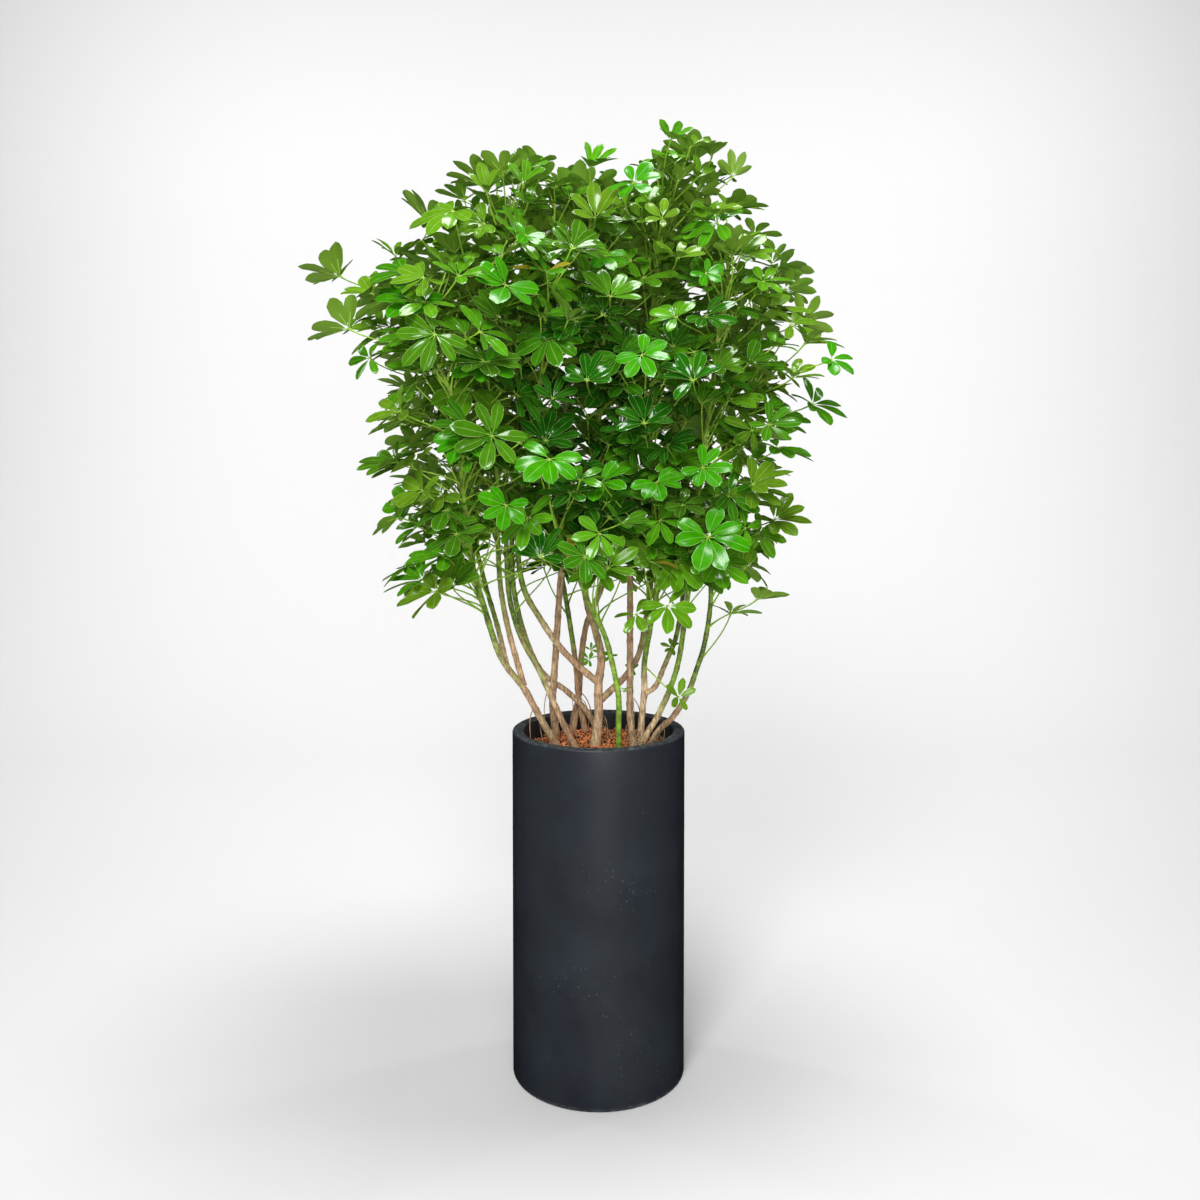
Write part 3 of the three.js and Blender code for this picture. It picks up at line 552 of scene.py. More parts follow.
class Leaf:
    """How a leaf stands on a given try: its hub, its stalk's root and the way that it faces."""

    def __init__(self, stem, length, place, attempt, *keys):
        roam, stray = min(150, 14 * attempt), min(14, 1.5 * attempt)
        self.length = length
        self.hub = place(
            either(stray, *keys, attempt, 11), either(roam, *keys, attempt, 12),
            either(stray, *keys, attempt, 13))
        off = np.linalg.norm(stem.roots - self.hub, axis=1)
        low = np.maximum(0, PETIOLE_RISE - (self.hub[2] - stem.roots[:, 2]))
        best = int(np.argmin(np.abs(off - PETIOLE_LENGTH) + 1.5 * low))
        self.root = stem.roots[best]
        curve, start = stem.curves[best // 101]
        self.stem_way = curve.along(lerp(start, 1, best % 101 / 100))
        loose = 0.2 + min(0.4, 0.02 * attempt)
        self.arriving = unit(self.hub - self.root)
        self.spread = np.array([either(loose, *keys, attempt, key) for key in (14, 15, 16)])
        self.face(FACING_UP, FACING_OUT, FACING_MIDDLE)
        self.twist = math.radians(either(18 + min(60, 3 * attempt), *keys, attempt, 17))
        self.young = min(1, max(0, (self.hub[2] - YOUNG_FROM) / YOUNG_OVER))
        self.cup = math.radians(lerp(20, 36, self.young) + either(7, *keys, 18))
        self.sag = 0.17 + either(0.1, *keys, 19)
        self.leaflets = FEW if length < BELOW else 6 if length < FROM else MANY
        self.open = 1.0
        self.keys = keys

    def face(self, up, out, middle, stalk=1.0):
        """Turns the leaf on from its stalk, up to the light and out to the front or the back."""
        aside = -out if self.hub[1] < middle else out
        self.facing = unit(stalk * self.arriving + (0, aside, up) + stalk * self.spread)
        away = np.array((*self.hub[:2], -0.3 * math.hypot(*self.hub[:2])))
        self.outwards = unit(away - self.facing * away.dot(self.facing))
        self.side = np.cross(self.facing, self.outwards)

    def relax(self, variety):
        """Gives the finer leaf a stance, a tint and leaflets of its own; the tint is partly its age and
        partly painted shade in the crown's middle. Its hub and its size stay, and so does the solid's
        stance where the new one would reach out of the solids' box."""
        solid = self.facing, self.outwards, self.side
        x, _, z = self.hub
        off = math.hypot(x / CROWN_HALF_WIDE, (z - CROWN_MIDDLE) / CROWN_HALF_HIGH)
        edge = min(1, max(0, off - 0.35) / 0.55)
        self.cup += math.radians(either(16, *self.keys, 33))
        self.sag += either(0.08, *self.keys, 34)
        self.width = 0.86 + 0.26 * draw(*self.keys, 35)
        self.fold = 1.0
        # The leaflets leave a gap towards the stem, or away from it where they fan upwards.
        self.open = 0.66 + 0.3 * draw(*self.keys, 37)
        loose = abs(x) < TURNED_WITHIN and self.keys not in BRIGHT | DULL
        if self.keys in GLOSSY or (loose and draw(*self.keys, 38) < TURNED_SHARE):
            self.twist += math.pi
        # Leaves are darker towards the crown's middle and lighter towards its edge and top: partly
        # their age, and partly painted shade in the middle and painted light at the top.
        self.tint = 0.1 + 0.34 * edge + either(0.28, *self.keys, 30) + 0.18 * self.young
        self.olive = min(1, (0.06 + edge) * draw(*self.keys, 36) + 0.08 * self.young)
        for key in range(40, 100, 4):
            self.spread[0] += either(variety, *self.keys, key)
            up = 0.9 + either(variety, *self.keys, key + 1)
            out = 0.4 + either(variety, *self.keys, key + 2)
            middle, stalk = 30, 1.0
            if self.keys in BRIGHT:
                out += 0.2
                self.cup, self.width, self.tint, self.olive = math.radians(16), 1.2, 0.9, 0.0
            elif self.keys in GLOSSY:
                up, out, stalk = 0.66, 0.75, 0.3
                self.cup, self.width, self.tint, self.olive = math.radians(22), 1.08, 0.02, 0.0
                self.fold, self.open = 1.6, 0.7
            elif self.keys in DULL:
                up, out, middle = 0.9, 0.35, -math.inf
                self.cup, self.tint, self.olive = math.radians(34), 0.4, 0.9
            self.face(up, out, middle, stalk)
            if inside_box(self.samples(), LEAF_INSIDE):
                return
        self.facing, self.outwards, self.side = solid

    def place(self, reach, turn, lift=0.0):
        """A place on the arched plate of the leaf, at a reach and a turn from its middle leaflet."""
        rise = reach * math.sin(self.cup) - self.sag * reach * reach / self.length + lift
        flat = reach * math.cos(self.cup)
        way = (self.outwards * math.cos(turn + self.twist) + self.side * math.sin(turn + self.twist))
        return self.hub + way * flat + self.facing * rise

    def turns(self):
        """The turn and the length of each leaflet."""
        step = 2 * math.pi * self.open / (self.leaflets + 0.3)
        for k in range(self.leaflets):
            turn = (k - (self.leaflets - 1) / 2) * step
            yield turn, self.length * (0.76 + 0.24 * math.cos(turn / 2) ** 2)

    def corners(self):
        """The upper corners of the leaflets' blunt ends, as they are in the solids."""
        half = math.asin(BLADE_WIDTH)
        return [self.place(own, turn + side, HALF_BLADE)
                for turn, own in self.turns() for side in (-half, half)]

    def samples(self):
        """Some places all over the leaf, to keep others clear of."""
        return [self.hub] + [
            self.place(own * share, turn) for turn, own in self.turns() for share in (0.55, 1.0)]


def settled(stem):
    """The leaves of a stem as its solid has them. Each leaf tried several places there, so the try
    whose leaflets' ends are corners of the solid is the one that it settled on."""
    vertices = frame["nodes"][f"leafy_stem_{stem.index + 1:02d}"].data.vertices
    tree = kdtree.KDTree(len(vertices))
    for i, vertex in enumerate(vertices):
        tree.insert(vertex.co / MM, i)
    tree.balance()
    found = []
    for number, (length, place) in enumerate(stem.all_leaves()):
        for attempt in range(TRIES):
            leaf = Leaf(stem, length, place, attempt, stem.index, number)
            if all(tree.find(Vector(corner))[2] < 0.2 for corner in leaf.corners()):
                found.append(leaf)
                break
    if len(found) < 0.9 * len(stem.all_leaves()):
        raise RuntimeError(f"stem {stem.index + 1} has {len(found)} of its leaves in the solids")
    return found


def sprouts(stem):
    """The small shoots on a stem's wood."""
    found = []
    trunk = stem.path.stops()
    for number, (index, hub, length) in enumerate(SPROUTS):
        if index == stem.index:
            leaf = Leaf(
                stem, length, lambda x, y, z, hub=hub: seen(*hub), 0, index, SPROUT_KEY + number)
            leaf.relax(ADDED_VARIETY)
            leaf.root = trunk[np.argmin(np.linalg.norm(trunk - leaf.hub, axis=1))]
            leaf.arriving = unit(leaf.hub - leaf.root)
            found.append(leaf)
    return found


def between(stem, taken, count):
    """More leaves on a stem, in the gaps between those of the solids and never outside them."""
    more = []
    cloud = np.array(taken)
    for j in range(ADDED_KEY, ADDED_KEY + count):
        key = (stem.index, j)
        curve, first = stem.curves[j % len(stem.curves)]
        share = lerp(max(first, 0.3), 0.98, draw(*key, 21) ** 0.8)
        turn = 2 * math.pi * draw(*key, 22)
        climb = math.radians(lerp(*ADDED_CLIMB, share) + either(14, *key, 23))
        hub = curve.at(share) + ranged(ADDED_REACH, *key, 24) * way_of(turn, climb)
        length = ranged(ADDED_LENGTH, *key, 25)
        if below(hub, CROWN_FOOT) > 0:
            continue
        leaf = Leaf(stem, length, lambda x, y, z, hub=hub: hub + (x, y, z), 0, *key)
        leaf.relax(ADDED_VARIETY)
        spots = np.array(leaf.samples())
        if not inside_box(spots, LEAF_INSIDE) or (below(spots, CROWN_TOP) < 0).any():
            continue
        near = cloud[np.linalg.norm(cloud - hub, axis=1) < NEIGHBOURS]
        off = np.linalg.norm(near[None] - spots[:, None], axis=2).min(axis=1)
        if off.min() < CLEAR_OF_LEAVES or off.max() > CLOSE_TO_LEAVES:
            continue
        more.append(leaf)
        cloud = np.vstack([cloud, spots])
        taken.extend(spots)
    return more


# ---- Stems and stalks ------------------------------------------------------------------------------
class Lines:
    """Bodies of lines to be made round: each place with its radius and how green its skin is."""

    def __init__(self):
        self.places, self.radii, self.green, self.scars, self.edges = [], [], [], [], []

    def add(self, places, radii, green, scars=None):
        first = len(self.places)
        self.places.extend(places)
        self.radii.extend(np.array(radii) * MM)
        self.green.extend(green)
        self.scars.extend(scars if scars is not None else [0.0] * len(places))
        self.edges.extend((i, i + 1) for i in range(first, len(self.places) - 1))

    def source(self, name):
        return put(name, mesh_from(
            name, self.places, edges=self.edges, radius=self.radii, green=self.green,
            scar=self.scars))


def add_limb(lines, curve, first, last, radius, greenness, seed, spacing, foot=None, tip=False):
    """A stem or a shoot with its joints: the low rings that fallen leaves have left."""
    shares = np.linspace(first, last, max(6, int(curve.length() * (last - first) / 6)))
    places = [curve.at(share) for share in shares]
    if foot is not None:
        down = np.linspace(0, 1, 8, endpoint=False)
        places = [lerp(foot, places[0], share) for share in down] + places
        shares = np.concatenate([np.full(len(down), first), shares])
    way = np.concatenate([[0], np.cumsum(np.linalg.norm(np.diff(places, axis=0), axis=1))])
    rings, at, k = [], spacing * draw(seed, 60), 0
    while at < way[-1]:
        rings.append(at)
        k += 1
        at += spacing * (0.7 + 0.6 * draw(seed, 61, k))
    scars = np.zeros(len(way))
    for ring in rings:
        scars = np.maximum(scars, np.exp(-((way - ring) / JOINT_HALF) ** 2))
    radii = np.array([lerp(*radius, share) for share in shares]) * (1.0 + JOINT_SWELLING * scars)
    if foot is not None:
        off = np.array(places)[:, 2] - SOIL_TOP - FOOT_HEIGHT
        radii *= 1 + FOOT_SWELLING * np.exp(-(off / FOOT_HALF) ** 2)
    if tip:
        radii *= np.clip((way[-1] - way + 2) / TIP_TAPER, 0.25, 1)
    lines.add(places, radii, [greenness(share) for share in shares], scars)


def bowed(start, near, far, end, shares):
    """Places along a line that leaves its start towards one place and comes to its end from another."""
    t = np.array(shares)[:, None]
    return list((1 - t) ** 3 * start + 3 * t * (1 - t) ** 2 * near
                + 3 * t * t * (1 - t) * far + t ** 3 * end)


def add_stalk(lines, leaf):
    """A leaf's stalk: a swollen foot on the stem, a slim round length and a knob at the hub."""
    reach = np.linalg.norm(leaf.hub - leaf.root)
    bow = 0.07 * reach * np.array([either(1, *leaf.keys, 70 + i) for i in range(3)])
    near = leaf.root + (0.12 * leaf.stem_way + 0.24 * leaf.arriving) * reach + bow
    far = leaf.hub - (0.10 * leaf.facing + 0.22 * leaf.arriving) * reach + 0.6 * bow
    shares = (0, 0.04, 0.1, 0.2, 0.36, 0.52, 0.68, 0.84, 0.94, 0.985, 1.0)
    radii = (2.5, 2.4, 1.9, 1.45, 1.3, 1.25, 1.2, 1.2, 1.35, 2.0, 1.6)
    slim = 0.75 + 0.25 * min(1, leaf.length / 75)
    # Stalks are fresher with their leaf's tint, so they carry its painted shade in the crown's middle
    # too.
    lines.add(bowed(leaf.root, near, far, leaf.hub, shares), np.array(radii) * slim,
              [lerp(1.15, 1.5, leaf.tint)] * len(shares))


def add_rootlets(lines, stem, count):
    """Thin roots in the air, which leave a stem's foot and curl down into the husk chips."""
    stops = 11
    for k in range(count):
        key = (stem.index, ROOTLET_KEY + k)
        start = stem.path.at(0.05 + 0.1 * draw(*key, 1))
        aside = np.array((either(1, *key, 2), either(1, *key, 3), 0))
        end = np.array((*(0.9 * start[:2] + 16 * aside[:2]), SOIL_TOP + 6))
        near, far = start + 26 * aside - (0, 0, 4), lerp(start, end, 0.7) + 20 * aside
        lines.add(bowed(start, near, far, end, np.linspace(0, 1, stops)),
                  np.linspace(0.9, 0.45, stops), [0.1] * stops, [0.9] * stops)


def line_tree():
    """Round tubes along lines, whose skin rises and falls a little."""
    tree, given, result = new_tree("Tubes along lines", [
        ("Sides", "Int", 8), ("Thickness", "Float", 1.0), ("Skin relief", "Float", 0.0002),
        ("Relief scale", "Float", 90.0), ("Material", "Material", None)])
    curve = add(tree, "GeometryNodeMeshToCurve", {"Mesh": given})
    radius = add(tree, "GeometryNodeInputNamedAttribute", {"Name": "radius"}, data_type="FLOAT")
    thick = add(tree, "ShaderNodeMath", {0: radius, 1: (given, "Thickness")}, operation="MULTIPLY")
    ring = add(tree, "GeometryNodeCurvePrimitiveCircle", {"Resolution": (given, "Sides"),
                                                          "Radius": 1.0})
    tube = add(tree, "GeometryNodeCurveToMesh", {
        "Curve": curve, "Profile Curve": ring, "Scale": thick, "Fill Caps": True})
    noise = add(tree, "ShaderNodeTexNoise", {"Scale": (given, "Relief scale"), "Detail": 2.0})
    lift = add(tree, "ShaderNodeMath", {0: noise, 1: 0.5}, operation="SUBTRACT")
    depth = add(tree, "ShaderNodeMath", {0: lift, 1: (given, "Skin relief")}, operation="MULTIPLY")
    normal = add(tree, "GeometryNodeInputNormal")
    offset = add(tree, "ShaderNodeVectorMath", {"Vector": normal, "Scale": depth},
                 operation="SCALE")
    moved = add(tree, "GeometryNodeSetPosition", {"Geometry": tube, "Offset": offset})
    smooth = add(tree, "GeometryNodeSetShadeSmooth", {"Geometry": moved})
    return finished(tree, given, result, smooth)


# ---- Leaflets --------------------------------------------------------------------------------------
ARCHES = (0.08, 0.18, 0.29)
BLADE_FROM = 0.09  # where the leaflet's own stalk ends, as a share of its length
# The blade's stations from its foot to its tip, each (share of the blade, share of the full width).
BLADE = ((0.0, 0.0), (0.12, 0.36), (0.30, 0.73), (0.49, 0.96), (0.66, 1.0), (0.83, 0.83),
         (0.95, 0.47), (1.0, 0.0))
LEAFLET_THICK, STALK_HALF = 0.009, 0.011  # of its length
NOTCHES = (0.0, 0.035)  # how deep the tip is notched, of its length
YELLOWED = 0.006  # the share of leaflets that have turned yellow


def leaflet_shape(name, arch, notch, seed):
    """One leaflet of unit length along X: an upper and an under side that share their margin, folded
    along the midrib and arched from foot to tip, and its own short stalk, which goes on as the rib."""
    def spine(t):
        return arch * t * (1 - t)

    corners, along, across, rows, margin = [], [], [], {1: [], -1: []}, {}
    for i, (share, width) in enumerate(BLADE):
        t = lerp(BLADE_FROM, 1.0, share)
        end = width == 0
        for side in (1, -1):
            row = []
            for v in ((0,) if end else (-1, -0.5, 0, 0.5, 1)):
                shared = end or abs(v) == 1
                if shared and (i, v) in margin:
                    row.append(margin[i, v])
                    continue
                wave = 0.011 * math.sin(5.1 * i + 2.2 * seed + v) * abs(v) * width
                y = BLADE_WIDTH * width * v * (1 + 0.05 * math.sin(3.1 * i + seed + v))
                fold = (0.0, 0.030, 0.032)[int(abs(2 * v))] * width
                x = t - (notch if end and i else 0) - (0.02 * abs(v) if share > 0.9 else 0)
                lift = 0 if shared else side * LEAFLET_THICK / 2
                row.append(len(corners))
                if shared:
                    margin[i, v] = len(corners)
                corners.append((x, y, spine(t) + fold + wave + lift))
                along.append(t)
                across.append(v)
            rows[side].append(row)
    faces, under = [], []
    for side in (1, -1):
        for low, high in zip(rows[side], rows[side][1:]):
            strips = max(len(low), len(high)) - 1
            for k in range(strips):
                face = [low[min(k, len(low) - 1)], high[min(k, len(high) - 1)],
                        high[min(k + 1, len(high) - 1)], low[min(k + 1, len(low) - 1)]]
                face = list(dict.fromkeys(face))
                faces.append(face[::-1] if side == 1 else face)
                under.append(0.0 if side == 1 else 1.0)
    ring = [(0, 1), (1, 0), (0, -1), (-1, 0)]
    first = len(corners)
    for t, size in ((0.0, 1.2), (0.1, 0.9), (BLADE_FROM + 0.04, 0.85), (0.5, 0.5)):
        base = spine(t) - (0.002 if t < 0.15 else 0.006)
        for y, z in ring:
            corners.append((t, STALK_HALF * size * y, base + STALK_HALF * size * z))
            along.append(t)
            across.append(0.0)
    for i in range(3):
        for k in range(4):
            a, b = first + 4 * i + k, first + 4 * i + (k + 1) % 4
            faces.append([a, b, b + 4, a + 4])
    faces += [[first + k for k in (3, 2, 1, 0)], [first + 12 + k for k in range(4)]]
    under += [2.0] * (len(faces) - len(under))
    mesh = mesh_from(name, np.array(corners) / MM, faces=faces, along=along, across=across)
    mesh.attributes.new("under", "FLOAT", "FACE").data.foreach_set("value", under)
    rim = {frozenset((low[end], high[end]))
           for low, high in zip(rows[1], rows[1][1:]) for end in (0, -1)}
    for edge in mesh.edges:
        edge.use_edge_sharp = frozenset(edge.vertices) in rim
    return mesh


def leaflet_shapes():
    """The leaflets that leaves are made of, in a collection, in the order of their names."""
    shapes = bpy.data.collections.new("Leaflet shapes")
    for i, arch in enumerate(ARCHES):
        for j, notch in enumerate(NOTCHES):
            name = f"leaflet_{i}{j}"
            mesh = leaflet_shape(name, arch, notch, 2 * i + j)
            shapes.objects.link(bpy.data.objects.new(name, mesh))
    return shapes


def leaflet_points(name, leaves, width):
    """A point for each leaflet of some leaves, with its turn, its size, its shape and its tint."""
    places, turns, sizes, kinds, tints, olives = [], [], [], [], [], []
    for leaf in leaves:
        for k, (turn, own) in enumerate(leaf.turns()):
            keys = (*leaf.keys, 80 + k)
            turn += math.radians(either(8, *keys, 1))
            chord = leaf.place(own * (0.86 + 0.14 * draw(*keys, 2)), turn) - leaf.hub
            chord += leaf.facing * own * either(0.09, *keys, 8)
            # A leaflet that would reach out of the solids' box stays shorter.
            while not inside_box(leaf.hub + chord, LEAFLET_INSIDE):
                chord *= 0.95
            reach = np.linalg.norm(chord)
            x = chord / reach
            y = unit(np.cross(leaf.facing, x))
            z = np.cross(x, y)
            roll = math.radians(either(24, *keys, 3))
            y, z = y * math.cos(roll) + z * math.sin(roll), z * math.cos(roll) - y * math.sin(roll)
            arch = leaf.sag * own / leaf.length + either(0.04, *keys, 4)
            places.append(leaf.hub)
            turns.append(tuple(Matrix(np.array((x, y, z)).T.tolist()).to_quaternion()))
            wide = reach * width * leaf.width * (0.86 + 0.24 * draw(*keys, 5))
            sizes.append((reach * MM, wide * MM, reach * leaf.fold * MM))
            kinds.append(2 * int(np.argmin(np.abs(np.array(ARCHES) - arch))) + (draw(*keys, 6) > 0.7))
            tints.append(leaf.tint + either(0.07, *keys, 7))
            olives.append(2.0 if draw(*keys, 9) < YELLOWED else leaf.olive)
    return put(name, mesh_from(
        name, places, turn=turns, size=sizes, kind=kinds, tint=tints, olive=olives))


def leaflet_tree(shapes):
    """A leaflet on each point, as real mesh."""
    tree, given, result = new_tree("Leaflets on hubs", [
        ("Shapes", "Collection", shapes), ("Length", "Float", 1.0), ("Material", "Material", None)])
    inputs = {
        title: add(tree, "GeometryNodeInputNamedAttribute", {"Name": title}, data_type=kind)
        for title, kind in (("turn", "QUATERNION"), ("size", "FLOAT_VECTOR"), ("kind", "FLOAT"))}
    info = add(tree, "GeometryNodeCollectionInfo", {
        "Collection": (given, "Shapes"), "Separate Children": True, "Reset Children": True})
    size = add(tree, "ShaderNodeVectorMath", {
        "Vector": inputs["size"], "Scale": (given, "Length")}, operation="SCALE")
    placed = add(tree, "GeometryNodeInstanceOnPoints", {
        "Points": given, "Instance": info, "Pick Instance": True,
        "Instance Index": inputs["kind"], "Rotation": inputs["turn"], "Scale": size})
    return finished(tree, given, result, placed)


# ---- Materials -------------------------------------------------------------------------------------
def waxy_leaf(settings):
    """Living leaf with a waxy skin. It gives a deep green with whitish soft glints, paler along the
    midrib, with a painted highlight as a pale line along the margin, darker in the crown's middle
    partly with age and partly as painted shade, duller with age at the bush's edge, and a dull olive
    underside."""
    material, tree, shader = new_material("waxy_leaf", IOR=1.4)
    place = (add(tree, "ShaderNodeTexCoord"), "Object")
    tint, olive, under, along, across = (
        (add(tree, "ShaderNodeAttribute", attribute_name=name), "Fac")
        for name in ("tint", "olive", "under", "along", "across"))
    # The tint runs from old through grown to new leaves. It is lower in the crown's middle, partly for
    # age and partly as painted shade.
    lower = add(tree, "ShaderNodeMapRange", {"Value": tint, "From Min": 0.0, "From Max": 0.5})
    upper = add(tree, "ShaderNodeMapRange", {"Value": tint, "From Min": 0.5, "From Max": 1.0})
    dark = add(tree, "ShaderNodeMix", {
        "Factor": lower, "A": rgba(settings.old_colour), "B": rgba(settings.leaf_colour)},
        data_type="RGBA")
    fresh = add(tree, "ShaderNodeMix", {"Factor": upper, "A": dark, "B": rgba(settings.new_colour)},
                data_type="RGBA")
    dulled = add(tree, "ShaderNodeMapRange", {"Value": olive, "To Max": 0.58})
    dull = add(tree, "ShaderNodeMix", {"Factor": dulled, "A": fresh,
                                       "B": rgba(settings.dull_colour)}, data_type="RGBA")
    turning = add(tree, "ShaderNodeMapRange", {"Value": olive, "From Min": 1.0, "From Max": 2.0,
                                               "To Max": 0.8})
    green = add(tree, "ShaderNodeMix", {"Factor": turning, "A": dull,
                                        "B": rgba(settings.yellow_colour)}, data_type="RGBA")
    # Blotches about 12 mm wide, and side veins every 6 mm or so that slant from the midrib.
    blotch = add(tree, "ShaderNodeTexNoise", {"Vector": place, "Scale": 80.0, "Detail": 3.0})
    shade = add(tree, "ShaderNodeMapRange", {"Value": blotch, "From Min": 0.3, "From Max": 0.7,
                                             "To Min": 0.84, "To Max": 1.14})
    off = add(tree, "ShaderNodeMath", {0: across}, operation="ABSOLUTE")
    slant = add(tree, "ShaderNodeMath", {0: off, 1: -0.16, 2: along}, operation="MULTIPLY_ADD")
    wave = add(tree, "ShaderNodeMath", {0: slant, 1: 85.0}, operation="MULTIPLY")
    vein = add(tree, "ShaderNodeMath", {0: wave}, operation="SINE")
    veined = add(tree, "ShaderNodeMath", {0: vein, 1: 0.05, 2: shade}, operation="MULTIPLY_ADD")
    top = add(tree, "ShaderNodeMix", {"Factor": 1.0, "A": green, "B": veined}, data_type="RGBA",
              blend_type="MULTIPLY")
    rib = add(tree, "ShaderNodeMapRange", {"Value": off, "From Min": 0.02, "From Max": 0.08,
                                           "To Min": 0.25, "To Max": 0.0})
    # The margin is painted paler in the rib colour: a painted highlight along the leaflet's edge.
    margin = add(tree, "ShaderNodeMapRange", {"Value": off, "From Min": 0.91, "From Max": 0.98,
                                              "To Max": 0.45})
    pale = add(tree, "ShaderNodeMath", {0: rib, 1: margin}, operation="MAXIMUM")
    ribbed = add(tree, "ShaderNodeMix", {"Factor": pale, "A": top, "B": rgba(settings.rib_colour)},
                 data_type="RGBA")
    beneath = add(tree, "ShaderNodeMix", {"Factor": 0.3, "A": rgba(settings.under_colour),
                                          "B": green}, data_type="RGBA")
    is_under = add(tree, "ShaderNodeMath", {0: under, 1: 0.5}, operation="GREATER_THAN")
    is_stalk = add(tree, "ShaderNodeMath", {0: under, 1: 1.5}, operation="GREATER_THAN")
    sides = add(tree, "ShaderNodeMix", {"Factor": is_under, "A": ribbed, "B": beneath},
                data_type="RGBA")
    colour = add(tree, "ShaderNodeMix", {
        "Factor": is_stalk, "A": sides, "B": rgba(settings.stalk_colour)}, data_type="RGBA")
    # Old leaves are the glossiest, and undersides are dull.
    aged = add(tree, "ShaderNodeMapRange", {"Value": tint, "To Min": 0.1, "To Max": 0.22})
    rough = add(tree, "ShaderNodeMath", {0: is_under, 1: 0.35, 2: aged}, operation="MULTIPLY_ADD")
    wire(tree, shader, Base_Color=colour, Roughness=rough)
    return material


def stem_skin(name, settings, green_roughness):
    """Bark that turns into green skin up the stem. Young bark is dull and tan, with darker scar
    rings and pale pores; green skin has a slight sheen."""
    material, tree, shader = new_material(name, IOR=1.4)
    place = (add(tree, "ShaderNodeTexCoord"), "Object")
    green, scar = ((add(tree, "ShaderNodeAttribute", attribute_name=name), "Fac")
                   for name in ("green", "scar"))
    # Patches and fibres are drawn out fivefold along the stem. Patches about 20 mm wide make the
    # change from brown to green uneven. Fibres are 0.5 mm wide in life, drawn at 3 mm.
    drawn_out = add(tree, "ShaderNodeMapping", {"Vector": place, "Scale": (1.0, 1.0, 0.2)})
    patch = add(tree, "ShaderNodeTexNoise", {"Vector": drawn_out, "Scale": 55.0, "Detail": 3.0})
    mixed = add(tree, "ShaderNodeMath", {0: patch, 1: 0.55, 2: green}, operation="MULTIPLY_ADD")
    turning = add(tree, "ShaderNodeMapRange", {"Value": mixed, "From Min": 0.62, "From Max": 0.95})
    fresh = add(tree, "ShaderNodeMapRange", {"Value": green, "From Min": 0.9, "From Max": 1.4})
    fibres = add(tree, "ShaderNodeTexNoise", {"Vector": drawn_out, "Scale": 340.0, "Detail": 3.0})
    streak = add(tree, "ShaderNodeMapRange", {"Value": fibres, "From Min": 0.34, "From Max": 0.66})
    # Whole stretches of bark are redder, some 70 mm wide and 350 mm long.
    stretch = add(tree, "ShaderNodeTexNoise", {"Vector": drawn_out, "Scale": 14.0, "Detail": 1.0})
    redder = add(tree, "ShaderNodeMapRange", {"Value": stretch, "From Min": 0.42, "From Max": 0.6,
                                              "To Max": 0.7})
    tan = add(tree, "ShaderNodeMix", {
        "Factor": redder, "A": rgba(settings.bark_colour), "B": rgba(settings.bark_red)},
        data_type="RGBA")
    brown = add(tree, "ShaderNodeMix", {
        "Factor": streak, "A": rgba(settings.bark_dark), "B": tan}, data_type="RGBA")
    skin = add(tree, "ShaderNodeMix", {
        "Factor": fresh, "A": rgba(settings.skin_colour), "B": rgba(settings.fresh_colour)},
        data_type="RGBA")
    # Older green skin is mottled with dark olive blotches some 13 mm across.
    blotch = add(tree, "ShaderNodeTexNoise", {"Vector": place, "Scale": 75.0, "Detail": 4.0,
                                              "Roughness": 0.7})
    aged = add(tree, "ShaderNodeMapRange", {"Value": fresh, "To Min": 0.9, "To Max": 0.15})
    dark = add(tree, "ShaderNodeMapRange", {"Value": blotch, "From Min": 0.42, "From Max": 0.58,
                                            "To Max": aged})
    mottled = add(tree, "ShaderNodeMix", {"Factor": dark, "A": skin,
                                          "B": rgba(settings.mottle_colour)}, data_type="RGBA")
    both = add(tree, "ShaderNodeMix", {"Factor": turning, "A": brown, "B": mottled},
               data_type="RGBA")
    # Pores are about 1 mm across in life, drawn at 2 mm so that they show.
    pores = add(tree, "ShaderNodeTexVoronoi", {"Vector": place, "Scale": 210.0})
    pale = add(tree, "ShaderNodeMapRange", {"Value": pores, "From Min": 0.12, "From Max": 0.3,
                                            "To Min": 0.35, "To Max": 0.0})
    dotted = add(tree, "ShaderNodeMix", {"Factor": pale, "A": both,
                                         "B": rgba(settings.pore_colour)}, data_type="RGBA")
    ringed = add(tree, "ShaderNodeMath", {0: scar, 1: 0.55}, operation="MULTIPLY")
    colour = add(tree, "ShaderNodeMix", {"Factor": ringed, "A": dotted,
                                         "B": rgba(settings.bark_dark)}, data_type="RGBA")
    rough = add(tree, "ShaderNodeMapRange", {
        "Value": turning, "To Min": 0.82, "To Max": green_roughness})
    bump = add(tree, "ShaderNodeBump", {"Height": fibres, "Strength": 0.4, "Distance": 0.0008})
    wire(tree, shader, Base_Color=colour, Roughness=rough, Normal=bump)
    return material


